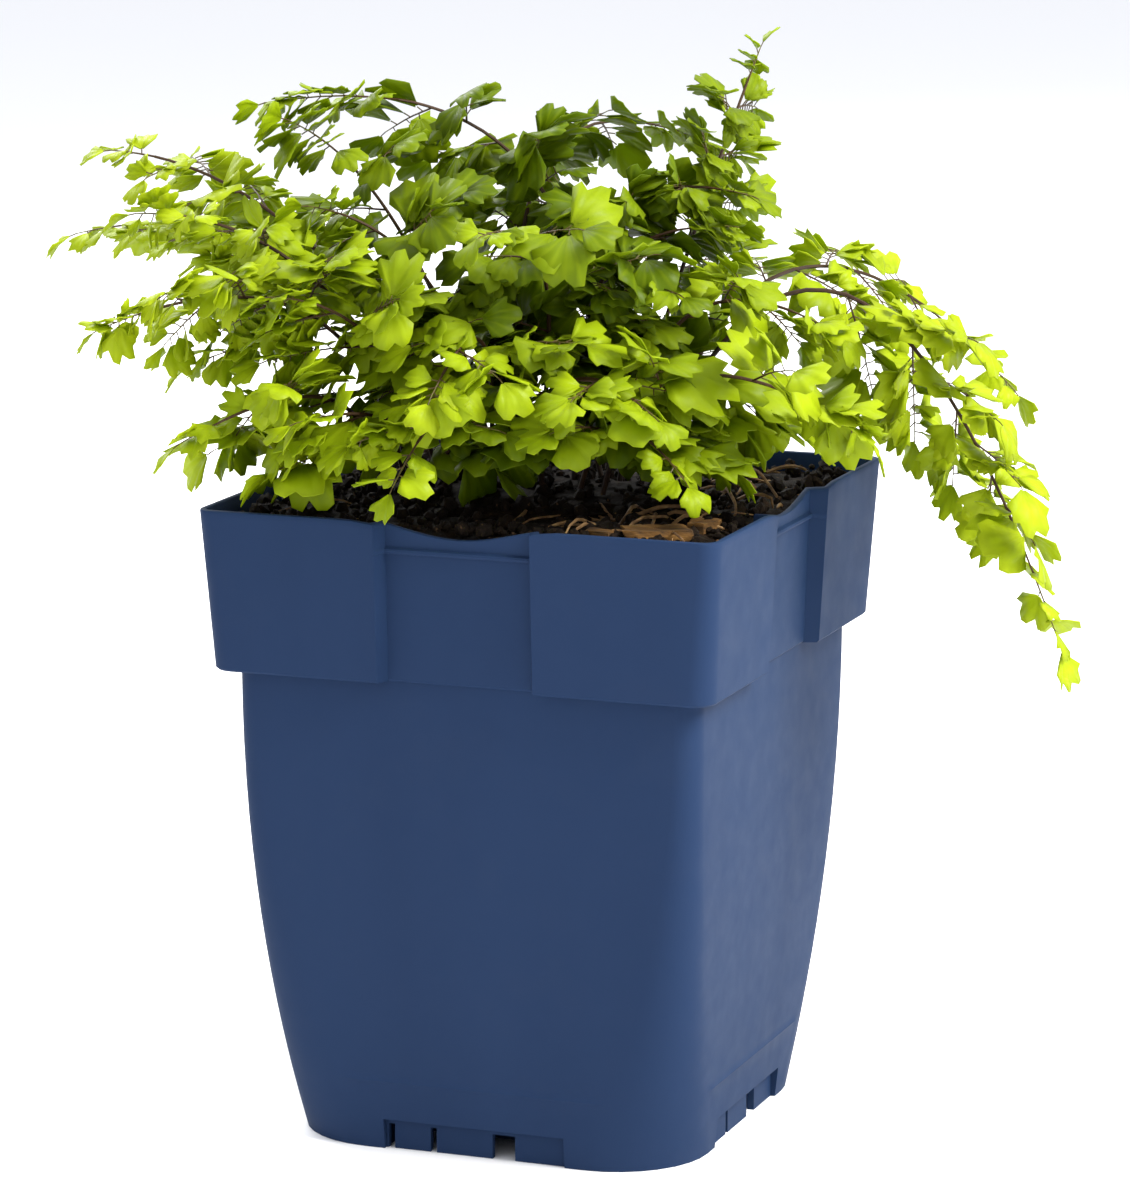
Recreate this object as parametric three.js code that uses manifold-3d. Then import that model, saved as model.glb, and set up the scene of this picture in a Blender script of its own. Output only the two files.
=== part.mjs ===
// A young maidenhair fern in a square moulded nursery pot, in millimetres, +Z up.
// The origin is the centre of the pot's underside. The front of the pot faces -Y.
//
// The pot is one moulded shell with a stepped collar, a grip recess in the middle of each side and
// a drained foot. Potting mix fills it to just under the rim, and the fern's rhizome lies on the mix.
// Each frond is a wiry stalk and a green blade: a rachis with a flat spray of leaflets along its tip
// and along each side branch. A spray that would touch anything is rolled or shortened until it is
// clear, and is left out where nothing helps.
import * as THREE from "three";
import { mergeVertices } from "three/addons/utils/BufferGeometryUtils.js";
import Module from "manifold-3d";

const wasm = await Module();
wasm.setup();

// ---------------------------------------------------------------- driving dimensions

const POT_HEIGHT = 108;
const RIM_WIDTH = 90; // across the collar's top edge
const RIM_CORNER = 3;
const COLLAR_HEIGHT = 27;
const COLLAR_FOOT_WIDTH = 87; // across the collar's lower edge
const COLLAR_CORNER = 4;
const BODY_WIDTH = 80.6; // just under the collar
const BASE_WIDTH = 71;
const BASE_CORNER = 16;
const BODY_CURVE = 2; // how late the taper of the sides sets in, 1 is straight
const CORNER_CURVE = 2.2; // the same for the growing corner radius
const WALL = 1.2;
const FLOOR = 1.5;

const GRIP_WIDTH = 25; // the recess in the middle of each side of the collar
const GRIP_FLARE = 1; // how far each side of the recess leans out
const GRIP_INSET = 2.4; // from the collar's lower edge in to the recess's face
const GRIP_LEAN = 0.9;
const GRIP_LIP = 0.7;
const GRIP_LIP_BELOW_RIM = 5.2;
const SCOOP_WIDTH = 38; // the dip in the rim over each recess
const SCOOP_DEPTH = 2.8;

const FOOT_WIDTH = 32; // the drained stretch in the middle of each lower edge
const FOOT_HEIGHT = 5.2;
const FOOT_SETBACK = 0.8;
const CHANNEL_HEIGHT = 4.2; // the hollow behind the foot's skirt
const CHANNEL_DEPTH = 10;
const DRAIN_LENGTH = 14;
const DRAIN_WIDTH = 4;
const FOOT_GAPS = [
  { at: -15, width: 1.1 },
  { at: -7.5, width: 1.1 },
  { at: 5, width: 4 },
];

const CLEARANCE = 0.3; // between pieces that rest on each other
const SOIL_BELOW_RIM = 3.5; // at the wall
const SOIL_CROWN = 1.5; // how much higher the mix stands in the middle
const SOIL_MOUND_FOOT = 39.5; // half the width over which it does, at the bottom and at the top
const SOIL_MOUND_TOP = 36.5;
const SOIL_MOUND_CORNER = 8;

const RHIZOME_AT = [-5, -2];
const RHIZOME_LENGTH = 62;
const RHIZOME_WIDTH = 46;
const RHIZOME_HEIGHT = 3;

const GROWTH = 1; // scales every frond's reach and height
const STALK_RADIUS = 0.6;
const RACHIS_RADIUS = 0.45;
const STEM_HALF_WIDTH = 0.4; // of the flat stem of a spray
const STALK_GAP = 0.5; // between a stalk and its rachis, so that their flat ends can lean
const RACHIS_OVERLAP = 0.6; // how far the rachis runs on into the tip's spray
const LEAFLET_THICKNESS = 0.4;
const AIR = 0.35; // the least gap kept between the pieces of different fronds

const CHIPS = [
  { at: [31, -33], size: [11, 6, 2.2], turn: 25 },
  { at: [35, -22], size: [6, 4, 1.8], turn: 80 },
  { at: [22, -35], size: [5, 3.5, 1.6], turn: -15 },
];
const DRY_STALK_RADIUS = 0.4;
const DRY_STALKS = [
  { from: [28, 8], to: [37, -12], arch: 2.5 },
  { from: [26, 17], to: [38, 7], arch: 3.5 },
  { from: [22, -19], to: [32, -12], arch: 1.5 },
];

// ---------------------------------------------------------------- fronds

// foot is where the stalk stands on the rhizome: [x, y]. bend is the point the frond is drawn towards
// on its way and tip is its end: each is [plan direction in degrees anticlockwise from +X, distance
// from the pot's axis, height above the mix]. bare is the share of the length with no leaflets, span
// the longest side branch and leaf a leaflet's width. roll turns the blade about its own length, in
// degrees: 0 keeps it level from side to side and 90 stands it on edge.
const FRONDS = [
  { foot: [-16, 6], bend: [197, 41, 56], tip: [194, 74, 57], bare: 0.42, span: 28, leaf: 9.5, roll: -8 },
  { foot: [-20, -1], bend: [219, 38, 50], tip: [212, 69, 49], bare: 0.35, span: 30, leaf: 9.5, roll: 15 },
  { foot: [-13, 12], bend: [174, 43, 52], tip: [179, 88, 40], bare: 0.42, span: 24, leaf: 8.5, roll: 5 },
  { foot: [-24, -6], bend: [236, 39, 49], tip: [222, 78, 32], bare: 0.35, span: 26, leaf: 9, roll: 35 },
  { foot: [-27, -12], bend: [241, 38, 31], tip: [225, 66, 13], bare: 0.3, span: 26, leaf: 11, roll: 30 },
  { foot: [6, 10], bend: [85, 23, 74], tip: [203, 47, 66], bare: 0.35, span: 20, leaf: 11, roll: 30 },
  { foot: [-10, 2], bend: [195, 24, 55], tip: [214, 44, 64], bare: 0.35, span: 26, leaf: 11, roll: 35 },
  { foot: [-9, -5], bend: [233, 17, 46], tip: [228, 44, 51], bare: 0.25, span: 30, leaf: 10.5, roll: 35 },
  { foot: [-17, -8], bend: [244, 34, 36], tip: [238, 56, 38], bare: 0.2, span: 30, leaf: 10, roll: 25 },
  { foot: [-18, -15], bend: [252, 33, 22], tip: [243, 55, 18], bare: 0.15, span: 28, leaf: 10.5, roll: 25 },
  { foot: [-6, -12], bend: [273, 24, 45], tip: [267, 47, 23], bare: 0.2, span: 30, leaf: 12, roll: 0 },
  { foot: [0, -7], bend: [322, 10, 52], tip: [274, 38, 48], bare: 0.25, span: 30, leaf: 12, roll: 10 },
  { foot: [6, -4], bend: [329, 8, 43], tip: [332, 32, 37], bare: 0.25, span: 28, leaf: 11, roll: -20 },
  { foot: [4, -14], bend: [287, 24, 34], tip: [312, 46, 20], bare: 0.2, span: 30, leaf: 12, roll: -10 },
  { foot: [10, -12], bend: [314, 24, 24], tip: [319, 46, 9], bare: 0.2, span: 26, leaf: 11, roll: -10 },
  { foot: [-12, -17], bend: [268, 37, 29], tip: [262, 52, 9], bare: 0.15, span: 26, leaf: 11, roll: 0 },
  { foot: [-5, 9], bend: [149, 26, 79], tip: [66, 45, 54], bare: 0.42, span: 18, leaf: 10, roll: -25 },
  { foot: [10, 7], bend: [46, 27, 45], tip: [52, 42, 73], bare: 0.45, span: 24, leaf: 8, roll: -60 },
  { foot: [4, 3], bend: [120, 15, 59], tip: [24, 34, 50], bare: 0.35, span: 24, leaf: 10, roll: -10 },
  { foot: [9, 1], bend: [145, 5, 46], tip: [9, 31, 46], bare: 0.3, span: 26, leaf: 10, roll: -10 },
  { foot: [13, -1], bend: [16, 17, 46], tip: [6, 49, 29], bare: 0.25, span: 28, leaf: 11, roll: -30 },
  { foot: [15, 8], bend: [63, 50, 62], tip: [41, 86, 13], bare: 0.42, span: 16, leaf: 9, roll: 20 },
  { foot: [17, -2], bend: [31, 50, 78], tip: [14, 86, -24], bare: 0.4, span: 26, leaf: 10.5, roll: -35 },
  { foot: [14, -12], bend: [322, 31, 38], tip: [350, 59, 15], bare: 0.2, span: 28, leaf: 13, roll: -35 },
];

// ---------------------------------------------------------------- small helpers

const radians = THREE.MathUtils.degToRad;
const upwards = new THREE.Vector3(0, 0, 1);

// A repeatable number from 0 to 1 for a seed.
function chance(seed) {
  const x = Math.sin(seed * 12.9898) * 43758.5453;
  return x - Math.floor(x);
}

function solidOf(geometry) {
  const plain = geometry.clone();
  plain.deleteAttribute("normal");
  plain.deleteAttribute("uv");
  const merged = mergeVertices(plain, 1e-4);
  return new wasm.Manifold(
    new wasm.Mesh({
      numProp: 3,
      vertProperties: new Float32Array(merged.attributes.position.array),
      triVerts: new Uint32Array(merged.index.array),
    }),
  );
}

function geometryOf(solid) {
  const mesh = solid.getMesh();
  const geometry = new THREE.BufferGeometry();
  geometry.setAttribute("position", new THREE.BufferAttribute(mesh.vertProperties, 3));
  geometry.setIndex(new THREE.BufferAttribute(mesh.triVerts, 1));
  return geometry;
}

const cut = (solid, tools) => tools.reduce((rest, tool) => rest.subtract(tool), solid);
const join = (solids) => solids.reduce((all, one) => all.add(one));

// ---------------------------------------------------------------- pot

const rimHalf = RIM_WIDTH / 2;
const collarFootHalf = COLLAR_FOOT_WIDTH / 2;
const collarFootZ = POT_HEIGHT - COLLAR_HEIGHT;
const gripFace = collarFootHalf - GRIP_INSET; // the recess's face, from the pot's axis
const CORNER_STEPS = 5;
const BODY_LEVELS = 8;
const BEYOND = 1; // how far a cutting tool reaches past what it cuts

// Half the body's outer width and its corner radius at a height.
function bodyAt(z) {
  const down = THREE.MathUtils.clamp(1 - z / collarFootZ, 0, 1);
  return {
    half: BODY_WIDTH / 2 - ((BODY_WIDTH - BASE_WIDTH) / 2) * down ** BODY_CURVE,
    radius: COLLAR_CORNER + (BASE_CORNER - COLLAR_CORNER) * down ** CORNER_CURVE,
  };
}

function collarAt(z) {
  const up = (z - collarFootZ) / COLLAR_HEIGHT;
  return {
    half: THREE.MathUtils.lerp(collarFootHalf, rimHalf, up),
    radius: THREE.MathUtils.lerp(COLLAR_CORNER, RIM_CORNER, up),
  };
}

function roundedSquare(half, radius) {
  const points = [];
  for (let corner = 0; corner < 4; corner++) {
    const turn = (corner * Math.PI) / 2;
    for (let step = 0; step <= CORNER_STEPS; step++) {
      const angle = turn + ((step / CORNER_STEPS) * Math.PI) / 2;
      const centre = new THREE.Vector2(half - radius, half - radius).rotateAround(new THREE.Vector2(), turn);
      const arm = new THREE.Vector2(radius * Math.cos(angle), radius * Math.sin(angle));
      points.push(centre.add(arm));
    }
  }
  return points;
}

// A solid through rounded squares, one for each level: { z, half, radius }.
function loft(levels) {
  const outline = roundedSquare(1, 0.5);
  const steps = levels.length - 1;
  const shape = new THREE.Shape(outline);
  const geometry = new THREE.ExtrudeGeometry(shape, { depth: 1, steps, bevelEnabled: false });
  const rings = levels.map(({ half, radius }) => roundedSquare(half, radius));
  const at = geometry.attributes.position;
  for (let i = 0; i < at.count; i++) {
    const level = Math.round(at.getZ(i) * steps);
    const here = new THREE.Vector2(at.getX(i), at.getY(i));
    const k = outline.findIndex((point) => point.distanceTo(here) < 1e-3);
    at.setXYZ(i, rings[level][k].x, rings[level][k].y, levels[level].z);
  }
  return solidOf(geometry);
}

const shrunk = (level, by) => ({
  z: level.z,
  half: level.half - by,
  radius: Math.max(level.radius - by, 0.5),
});

// Levels of the body between two heights, closer together near the base, where it curves most.
function bodyLevels(low, high, inset) {
  const levels = [];
  for (let i = 0; i < BODY_LEVELS; i++) {
    const z = low + (high - low) * (i / (BODY_LEVELS - 1)) ** 1.5;
    levels.push(shrunk({ z, ...bodyAt(z) }, inset));
  }
  return levels;
}

function collarLevels(low, high, inset) {
  return [low, high].map((z) => shrunk({ z, ...collarAt(z) }, inset));
}

function box(width, depth, height, x, y, z) {
  const geometry = new THREE.BoxGeometry(width, depth, height);
  geometry.translate(x, y, z);
  return solidOf(geometry);
}

// Four copies of a solid that stands at the front, one for each side of the pot.
const onEachSide = (solid) => [0, 90, 180, 270].map((turn) => solid.rotate([0, 0, turn]));

// The block of space that a grip recess takes out of the collar, grown on every side but its outer one.
// Its inner face leans out with the collar, by GRIP_LEAN over the collar's height.
function gripBlock(grow) {
  const inner = GRIP_WIDTH / 2 + grow;
  const reach = rimHalf + BEYOND - gripFace;
  const outer = inner + GRIP_FLARE * (reach / GRIP_INSET);
  const plan = new THREE.Shape([
    new THREE.Vector2(-outer, -rimHalf - BEYOND),
    new THREE.Vector2(outer, -rimHalf - BEYOND),
    new THREE.Vector2(inner, -gripFace + grow),
    new THREE.Vector2(-inner, -gripFace + grow),
  ]);
  const low = collarFootZ - BEYOND;
  const high = POT_HEIGHT + BEYOND;
  const geometry = new THREE.ExtrudeGeometry(plan, { depth: high - low, bevelEnabled: false });
  geometry.translate(0, 0, low);
  const at = geometry.attributes.position;
  for (let i = 0; i < at.count; i++) {
    const isInner = at.getY(i) > -gripFace - grow - 0.01;
    if (isInner) at.setY(i, at.getY(i) - GRIP_LEAN * ((at.getZ(i) - collarFootZ) / COLLAR_HEIGHT));
  }
  return solidOf(geometry);
}

// A thin lip across the top of the recess's face.
function gripLip() {
  const z = POT_HEIGHT - GRIP_LIP_BELOW_RIM;
  const face = gripFace + GRIP_LEAN * ((z - collarFootZ) / COLLAR_HEIGHT);
  return box(GRIP_WIDTH + GRIP_FLARE, GRIP_LIP + WALL / 2, GRIP_LIP, 0, -face - GRIP_LIP / 2 + WALL / 4, z);
}

// The dip in the rim over a recess: a smooth bow, cut straight through the wall.
function scoopBlock() {
  const steps = 12;
  const profile = [];
  for (let i = 0; i <= steps; i++) {
    const t = i / steps;
    const x = (t - 0.5) * SCOOP_WIDTH;
    const dip = SCOOP_DEPTH * Math.sin(Math.PI * t) ** 2;
    profile.push(new THREE.Vector2(x, -dip));
  }
  profile.push(new THREE.Vector2(SCOOP_WIDTH / 2, BEYOND), new THREE.Vector2(-SCOOP_WIDTH / 2, BEYOND));
  const depth = rimHalf + BEYOND - gripFace + 2 * WALL + BEYOND;
  const geometry = new THREE.ExtrudeGeometry(new THREE.Shape(profile), { depth, bevelEnabled: false });
  geometry.rotateX(Math.PI / 2);
  geometry.translate(0, -rimHalf - BEYOND + depth, POT_HEIGHT);
  return solidOf(geometry);
}

const baseHalf = BASE_WIDTH / 2;
const skirtInner = baseHalf - FOOT_SETBACK - WALL; // the skirt's hidden face, from the pot's axis

// The hollow behind a foot skirt, grown on every side.
function channelBlock(grow) {
  const depth = CHANNEL_DEPTH + 2 * grow;
  const height = CHANNEL_HEIGHT + grow + BEYOND;
  const y = -skirtInner + CHANNEL_DEPTH / 2;
  return box(FOOT_WIDTH + 2 * grow, depth, height, 0, y, height / 2 - BEYOND);
}

// What a foot loses: a shallow set-back outside, the gaps through its skirt and a drain slot above.
function footTools() {
  const setBack = 3 * FOOT_SETBACK;
  const face = -baseHalf + FOOT_SETBACK - setBack / 2;
  const tools = [box(FOOT_WIDTH, setBack, 2 * FOOT_HEIGHT, 0, face, 0), channelBlock(0)];
  for (const gap of FOOT_GAPS) {
    tools.push(box(gap.width, 4 * WALL, 2 * CHANNEL_HEIGHT, gap.at, -skirtInner, 0));
  }
  const drainY = -skirtInner + CHANNEL_DEPTH / 2;
  tools.push(box(DRAIN_LENGTH, DRAIN_WIDTH, 4 * FLOOR, 0, drainY, CHANNEL_HEIGHT + FLOOR));
  return tools;
}

// The space inside the pot, shrunk by a gap so that it can be the mix that fills it.
function potCavity(gap, top) {
  const low = loft(bodyLevels(FLOOR + gap, collarFootZ + WALL + BEYOND, WALL + gap));
  const high = cut(
    loft(collarLevels(collarFootZ + WALL + gap, top, WALL + gap)),
    onEachSide(gripBlock(WALL + gap)),
  );
  return cut(low.add(high), onEachSide(channelBlock(FLOOR + gap)));
}

function makePot() {
  const collar = loft(collarLevels(collarFootZ, POT_HEIGHT, 0));
  const shell = loft(bodyLevels(0, collarFootZ + BEYOND, 0)).add(collar);
  const hollow = cut(shell, [potCavity(0, POT_HEIGHT + BEYOND)]);
  const tools = [gripBlock(0), scoopBlock(), ...footTools()];
  const pot = cut(hollow, tools.flatMap(onEachSide));
  return join([pot, ...onEachSide(gripLip())]);
}

// ---------------------------------------------------------------- mix, rhizome and litter

const soilEdgeZ = POT_HEIGHT - SOIL_BELOW_RIM;
const soilTopZ = soilEdgeZ + SOIL_CROWN;

// The mix fills the pot, and stands a little higher in the middle than at the wall.
function makeSoil() {
  const fill = potCavity(CLEARANCE, soilEdgeZ);
  const mound = loft([
    { z: soilEdgeZ - BEYOND, half: SOIL_MOUND_FOOT, radius: SOIL_MOUND_CORNER },
    { z: soilEdgeZ, half: SOIL_MOUND_FOOT, radius: SOIL_MOUND_CORNER },
    { z: soilTopZ, half: SOIL_MOUND_TOP, radius: SOIL_MOUND_CORNER },
  ]);
  return fill.add(mound);
}

// The rhizome is a low dome, and this is its height above the mix at a place in plan.
function rhizomeHeight(x, y) {
  const across = (2 * (x - RHIZOME_AT[0])) / RHIZOME_LENGTH;
  const along = (2 * (y - RHIZOME_AT[1])) / RHIZOME_WIDTH;
  return RHIZOME_HEIGHT * Math.sqrt(Math.max(0, 1 - across ** 2 - along ** 2));
}

function makeRhizome() {
  const dome = new THREE.SphereGeometry(1, 16, 8);
  dome.rotateX(Math.PI / 2);
  dome.scale(RHIZOME_LENGTH / 2, RHIZOME_WIDTH / 2, RHIZOME_HEIGHT);
  const below = box(RHIZOME_LENGTH * 2, RHIZOME_WIDTH * 2, RHIZOME_HEIGHT * 2, 0, 0, -RHIZOME_HEIGHT);
  return solidOf(dome).subtract(below).translate([...RHIZOME_AT, soilTopZ + CLEARANCE]);
}

// A flake of bark: a block with its corners knocked off.
function makeChip({ at, size, turn }) {
  const [length, width, height] = size;
  const outline = new THREE.Shape([
    new THREE.Vector2(-length / 2, -width / 4),
    new THREE.Vector2(-length / 4, -width / 2),
    new THREE.Vector2(length / 2, -width / 3),
    new THREE.Vector2(length / 3, width / 2),
    new THREE.Vector2(-length / 3, width / 3),
  ]);
  const geometry = new THREE.ExtrudeGeometry(outline, { depth: height, bevelEnabled: false });
  geometry.rotateZ(radians(turn));
  geometry.translate(at[0], at[1], soilTopZ + CLEARANCE);
  return solidOf(geometry);
}

// A wire with flat ends along a line through points the same distance apart.
function wire(points, radius, sides) {
  const ring = [];
  for (let i = 0; i < sides; i++) {
    const angle = (-2 * Math.PI * i) / sides;
    ring.push(new THREE.Vector2(radius * Math.cos(angle), radius * Math.sin(angle)));
  }
  const extrudePath = new THREE.CatmullRomCurve3(points);
  const steps = points.length - 1;
  return solidOf(new THREE.ExtrudeGeometry(new THREE.Shape(ring), { steps, extrudePath }));
}

// A dead stalk that lies on the mix, arched a little.
function makeDryStalk({ from, to, arch }) {
  const low = soilTopZ + CLEARANCE + DRY_STALK_RADIUS;
  const start = new THREE.Vector3(...from, low);
  const end = new THREE.Vector3(...to, low);
  const middle = start.clone().lerp(end, 0.5);
  middle.z += arch;
  return wire([start, middle, end], DRY_STALK_RADIUS, 5);
}

// ---------------------------------------------------------------- growth

const FROND_STEPS = 24;
const STALK_STEPS = 5;
const RACHIS_STEP = 5; // the longest straight piece of a rachis, short enough to stay under its branches
const FIRST_BRANCH = 0.04; // as a share of the blade's length
const BRANCH_ANGLE = 62; // between a side branch and the rachis, in degrees
const BRANCH_DROOP = 0.16; // how far a branch's end hangs, as a share of its length
const BRANCH_PITCH = 0.68; // between branches along the rachis, as a share of a leaflet's width
const BRANCH_TAPER = 0.8; // how fast the branches shorten towards the tip, 1 is evenly
const SHORTEST_BRANCH = 1.1; // in leaflet widths; past it the leaflets grow from the rachis itself
const LAST_BRANCH = 0.95; // as a share of the blade's length, as FIRST_BRANCH is
const LAST_TIP = 0.9; // the latest the tip's own leaflets begin
const SPRAY_BARE = 0.18; // the share of a branch with no leaflets, at its root
const LEAFLET_PITCH = 0.72; // between the leaflets on one side of a branch, as a share of a leaflet's width
const LEAFLET_REACH = 0.62; // how far a leaflet stands out sideways, as a share of its width
const LEAFLET_LEAN = 0.4; // how far it leans towards the tip, as a share of its width
const LEAFLET_TILT = 0.4; // the steepest a leaflet rises or falls from its spray
const LEAFLET_NEAR = 0.1; // where its outer edge starts and ends, as shares of the pitch
const LEAFLET_FAR = 0.75;
const LEAFLET_FAR_REACH = 0.9; // how far its far corner stands out, as a share of its near corner
const END_LEAFLET = [ // the leaflet at a spray's end: [beyond the end, sideways], in leaflet widths
  [0.45, -0.4],
  [0.8, -0.12],
  [0.7, 0.3],
];
const SHRINK_TO_TIP = 0.3; // how much smaller the leaflets are at the frond's tip
const SMALLEST_LEAFLET = 0.8; // the range of sizes of neighbouring leaflets
const LARGEST_LEAFLET = 1.15;
const OTHER_ROLLS = [0, 25, -25, 50, -50]; // tried in turn where a spray would touch something
const OTHER_LENGTHS = [1, 0.7, 0.45];

// A point from plan direction, distance from the axis and height above the mix.
function aroundAxis([heading, out, up]) {
  const turn = radians(heading);
  return new THREE.Vector3(
    GROWTH * out * Math.cos(turn),
    GROWTH * out * Math.sin(turn),
    soilTopZ + GROWTH * up,
  );
}

// A frond's line, from its foot to its tip, as points the same distance apart. The stalk's flat end
// leans with it, and its lower edge just clears the rhizome.
function frondLine({ foot, bend, tip }) {
  const [x, y] = foot;
  const start = new THREE.Vector3(x, y, soilTopZ + CLEARANCE + rhizomeHeight(x, y) + CLEARANCE);
  const towards = aroundAxis(bend).sub(start).normalize();
  start.z += STALK_RADIUS * Math.hypot(towards.x, towards.y);
  const curve = new THREE.QuadraticBezierCurve3(start, aroundAxis(bend), aroundAxis(tip));
  return curve.getSpacedPoints(FROND_STEPS);
}

const lengthOf = (line) => (line.length - 1) * line[0].distanceTo(line[1]);

// The point at a share of a line's length, and the direction the line runs in there. Past the end the
// line goes straight on.
function onLine(line, share) {
  const place = share * (line.length - 1);
  const k = THREE.MathUtils.clamp(Math.floor(place), 0, line.length - 2);
  const step = new THREE.Vector3().subVectors(line[k + 1], line[k]);
  return { point: line[k].clone().addScaledVector(step, place - k), along: step.normalize() };
}

// A part of a line between two shares of its length.
function stretch(line, low, high, steps) {
  const points = [];
  for (let i = 0; i <= steps; i++) points.push(onLine(line, low + ((high - low) * i) / steps).point);
  return points;
}

// The way a spray faces at a point where it runs along a direction: its sideways and upper directions.
function sprayFrame(along, roll) {
  const sideways = new THREE.Vector3().crossVectors(upwards, along).normalize();
  sideways.applyAxisAngle(along, radians(roll));
  return { sideways, upper: new THREE.Vector3().crossVectors(along, sideways) };
}

// The outline of a spray laid flat: a narrow stem along +X and a row of leaflets on each side of it,
// with half a leaflet between them and one leaflet at the end. tilt is how steeply a corner rises.
function sprayOutline(length, leaf, seed) {
  const bare = SPRAY_BARE * length;
  const count = Math.max(1, Math.round((length - bare) / (leaf * LEAFLET_PITCH)));
  const pitch = (length - bare) / count;
  const rows = [-1, 1].map((side) => {
    const row = [{ x: 0, y: side * STEM_HALF_WIDTH, tilt: 0 }];
    const first = side > 0 ? Math.max(bare - pitch / 2, bare / 2) : bare;
    row.push({ x: first, y: side * STEM_HALF_WIDTH, tilt: 0 });
    for (let i = 0; i < count; i++) {
      const own = seed + 2 * i + (side > 0 ? 1 : 0);
      const width = leaf * THREE.MathUtils.lerp(SMALLEST_LEAFLET, LARGEST_LEAFLET, chance(own));
      const tilt = LEAFLET_TILT * (2 * chance(own + 0.5) - 1);
      const x = first + i * pitch + LEAFLET_LEAN * leaf;
      const reach = side * LEAFLET_REACH * width;
      row.push({ x: x + LEAFLET_NEAR * pitch, y: reach, tilt });
      row.push({ x: x + LEAFLET_FAR * pitch, y: reach * LEAFLET_FAR_REACH, tilt: -tilt / 2 });
      row.push({ x: first + (i + 1) * pitch, y: side * STEM_HALF_WIDTH, tilt: 0 });
    }
    return row;
  });
  const end = END_LEAFLET.map(([beyond, across]) => {
    return { x: length + beyond * leaf, y: across * leaf, tilt: 0 };
  });
  return [...rows[0], ...end, ...rows[1].reverse()];
}

// A spray along a line: the flat outline, given its thickness and bent to the line.
function spray(line, roll, leaf, seed) {
  const length = lengthOf(line);
  const outline = sprayOutline(length, leaf, seed);
  const shape = new THREE.Shape(outline.map(({ x, y }) => new THREE.Vector2(x, y)));
  const geometry = new THREE.ExtrudeGeometry(shape, { depth: LEAFLET_THICKNESS, bevelEnabled: false });
  const at = geometry.attributes.position;
  for (let i = 0; i < at.count; i++) {
    const [x, y] = [at.getX(i), at.getY(i)];
    const { tilt } = outline.find((corner) => Math.hypot(corner.x - x, corner.y - y) < 1e-3);
    const { point, along } = onLine(line, x / length);
    const { sideways, upper } = sprayFrame(along, roll);
    const height = tilt * Math.abs(y) + at.getZ(i) - LEAFLET_THICKNESS / 2;
    at.setXYZ(i, ...point.addScaledVector(sideways, y).addScaledVector(upper, height));
  }
  return solidOf(geometry);
}

function boxesTouch(a, b) {
  return [0, 1, 2].every((k) => a.min[k] - AIR < b.max[k] && b.min[k] - AIR < a.max[k]);
}

function isClear(solid, others) {
  const bounds = solid.boundingBox();
  const near = others.filter((other) => boxesTouch(bounds, other.bounds));
  return near.every((other) => solid.minGap(other.solid, 2 * AIR) > AIR);
}

const known = (solid) => ({ solid, bounds: solid.boundingBox() });

// A side branch's line, which hangs a little towards its end.
function branchLine({ point, along }, side, length, roll) {
  const turn = radians(BRANCH_ANGLE);
  const { sideways } = sprayFrame(along, roll);
  const direction = along.clone().multiplyScalar(Math.cos(turn));
  direction.addScaledVector(sideways, side * Math.sin(turn));
  const middle = point.clone().addScaledVector(direction, length / 2);
  middle.z -= (BRANCH_DROOP * length) / 4;
  const end = point.clone().addScaledVector(direction, length);
  end.z -= BRANCH_DROOP * length;
  return [point, middle, end];
}

// Adds the first spray that keeps clear of everything else, of a few rolls and lengths.
function addSpray(blade, lineOf, leaf, seed) {
  const others = [...blade.others, ...blade.sprays];
  for (const part of OTHER_LENGTHS) {
    for (const more of OTHER_ROLLS) {
      const made = spray(lineOf(part), blade.roll + more, leaf, seed);
      if (isClear(made, others)) {
        blade.sprays.push(known(made));
        return;
      }
    }
  }
}

// Where the branches leave the rachis, as shares of the blade's length, and where they end and the
// tip's own leaflets begin.
function branchPlaces(frond, bladeLength) {
  const places = [];
  let share = FIRST_BRANCH;
  let side = 1;
  for (;;) {
    const length = GROWTH * frond.span * (1 - share) ** BRANCH_TAPER;
    const leaf = frond.leaf * (1 - SHRINK_TO_TIP * share);
    if (length < SHORTEST_BRANCH * leaf || share > LAST_BRANCH) break;
    places.push({ share, side, length, leaf });
    share += (BRANCH_PITCH * leaf) / bladeLength;
    side = -side;
  }
  return { places, tip: Math.min(share, LAST_TIP) };
}

// A frond's line and its wires: the stalk up to its first branch, and the rachis from there to where the
// tip's own leaflets begin.
function startFrond(frond) {
  const line = frondLine(frond);
  const { bare, roll } = frond;
  const bladeLength = lengthOf(line) * (1 - bare);
  const { places, tip } = branchPlaces(frond, bladeLength);
  const gap = STALK_GAP / lengthOf(line);
  const tipShare = THREE.MathUtils.lerp(bare, 1, tip);
  const rachisEnd = Math.min(1, tipShare + RACHIS_OVERLAP / lengthOf(line));
  const rachisSteps = Math.ceil(((rachisEnd - bare) * lengthOf(line)) / RACHIS_STEP);
  return {
    ...{ line, bare, roll, places, tipShare },
    stalk: known(wire(stretch(line, 0, bare - gap, STALK_STEPS), STALK_RADIUS, 5)),
    rachis: known(wire(stretch(line, bare, rachisEnd, rachisSteps), RACHIS_RADIUS, 4)),
    sprays: [],
  };
}

// A blade's sprays: one along the tip of the rachis, and one for each side branch.
function growBlade(blade, frond, seed) {
  const { line, bare, roll, places, tipShare } = blade;
  const lastLeaf = frond.leaf * (1 - SHRINK_TO_TIP);
  const tipLine = (part) => stretch(line, tipShare, THREE.MathUtils.lerp(tipShare, 1, part), 3);
  addSpray(blade, tipLine, lastLeaf, seed);
  places.forEach(({ share, side, length, leaf }, i) => {
    const start = onLine(line, THREE.MathUtils.lerp(bare, 1, share));
    addSpray(blade, (part) => branchLine(start, side, part * length, roll), leaf, seed + 20 * (i + 1));
  });
}

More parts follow.
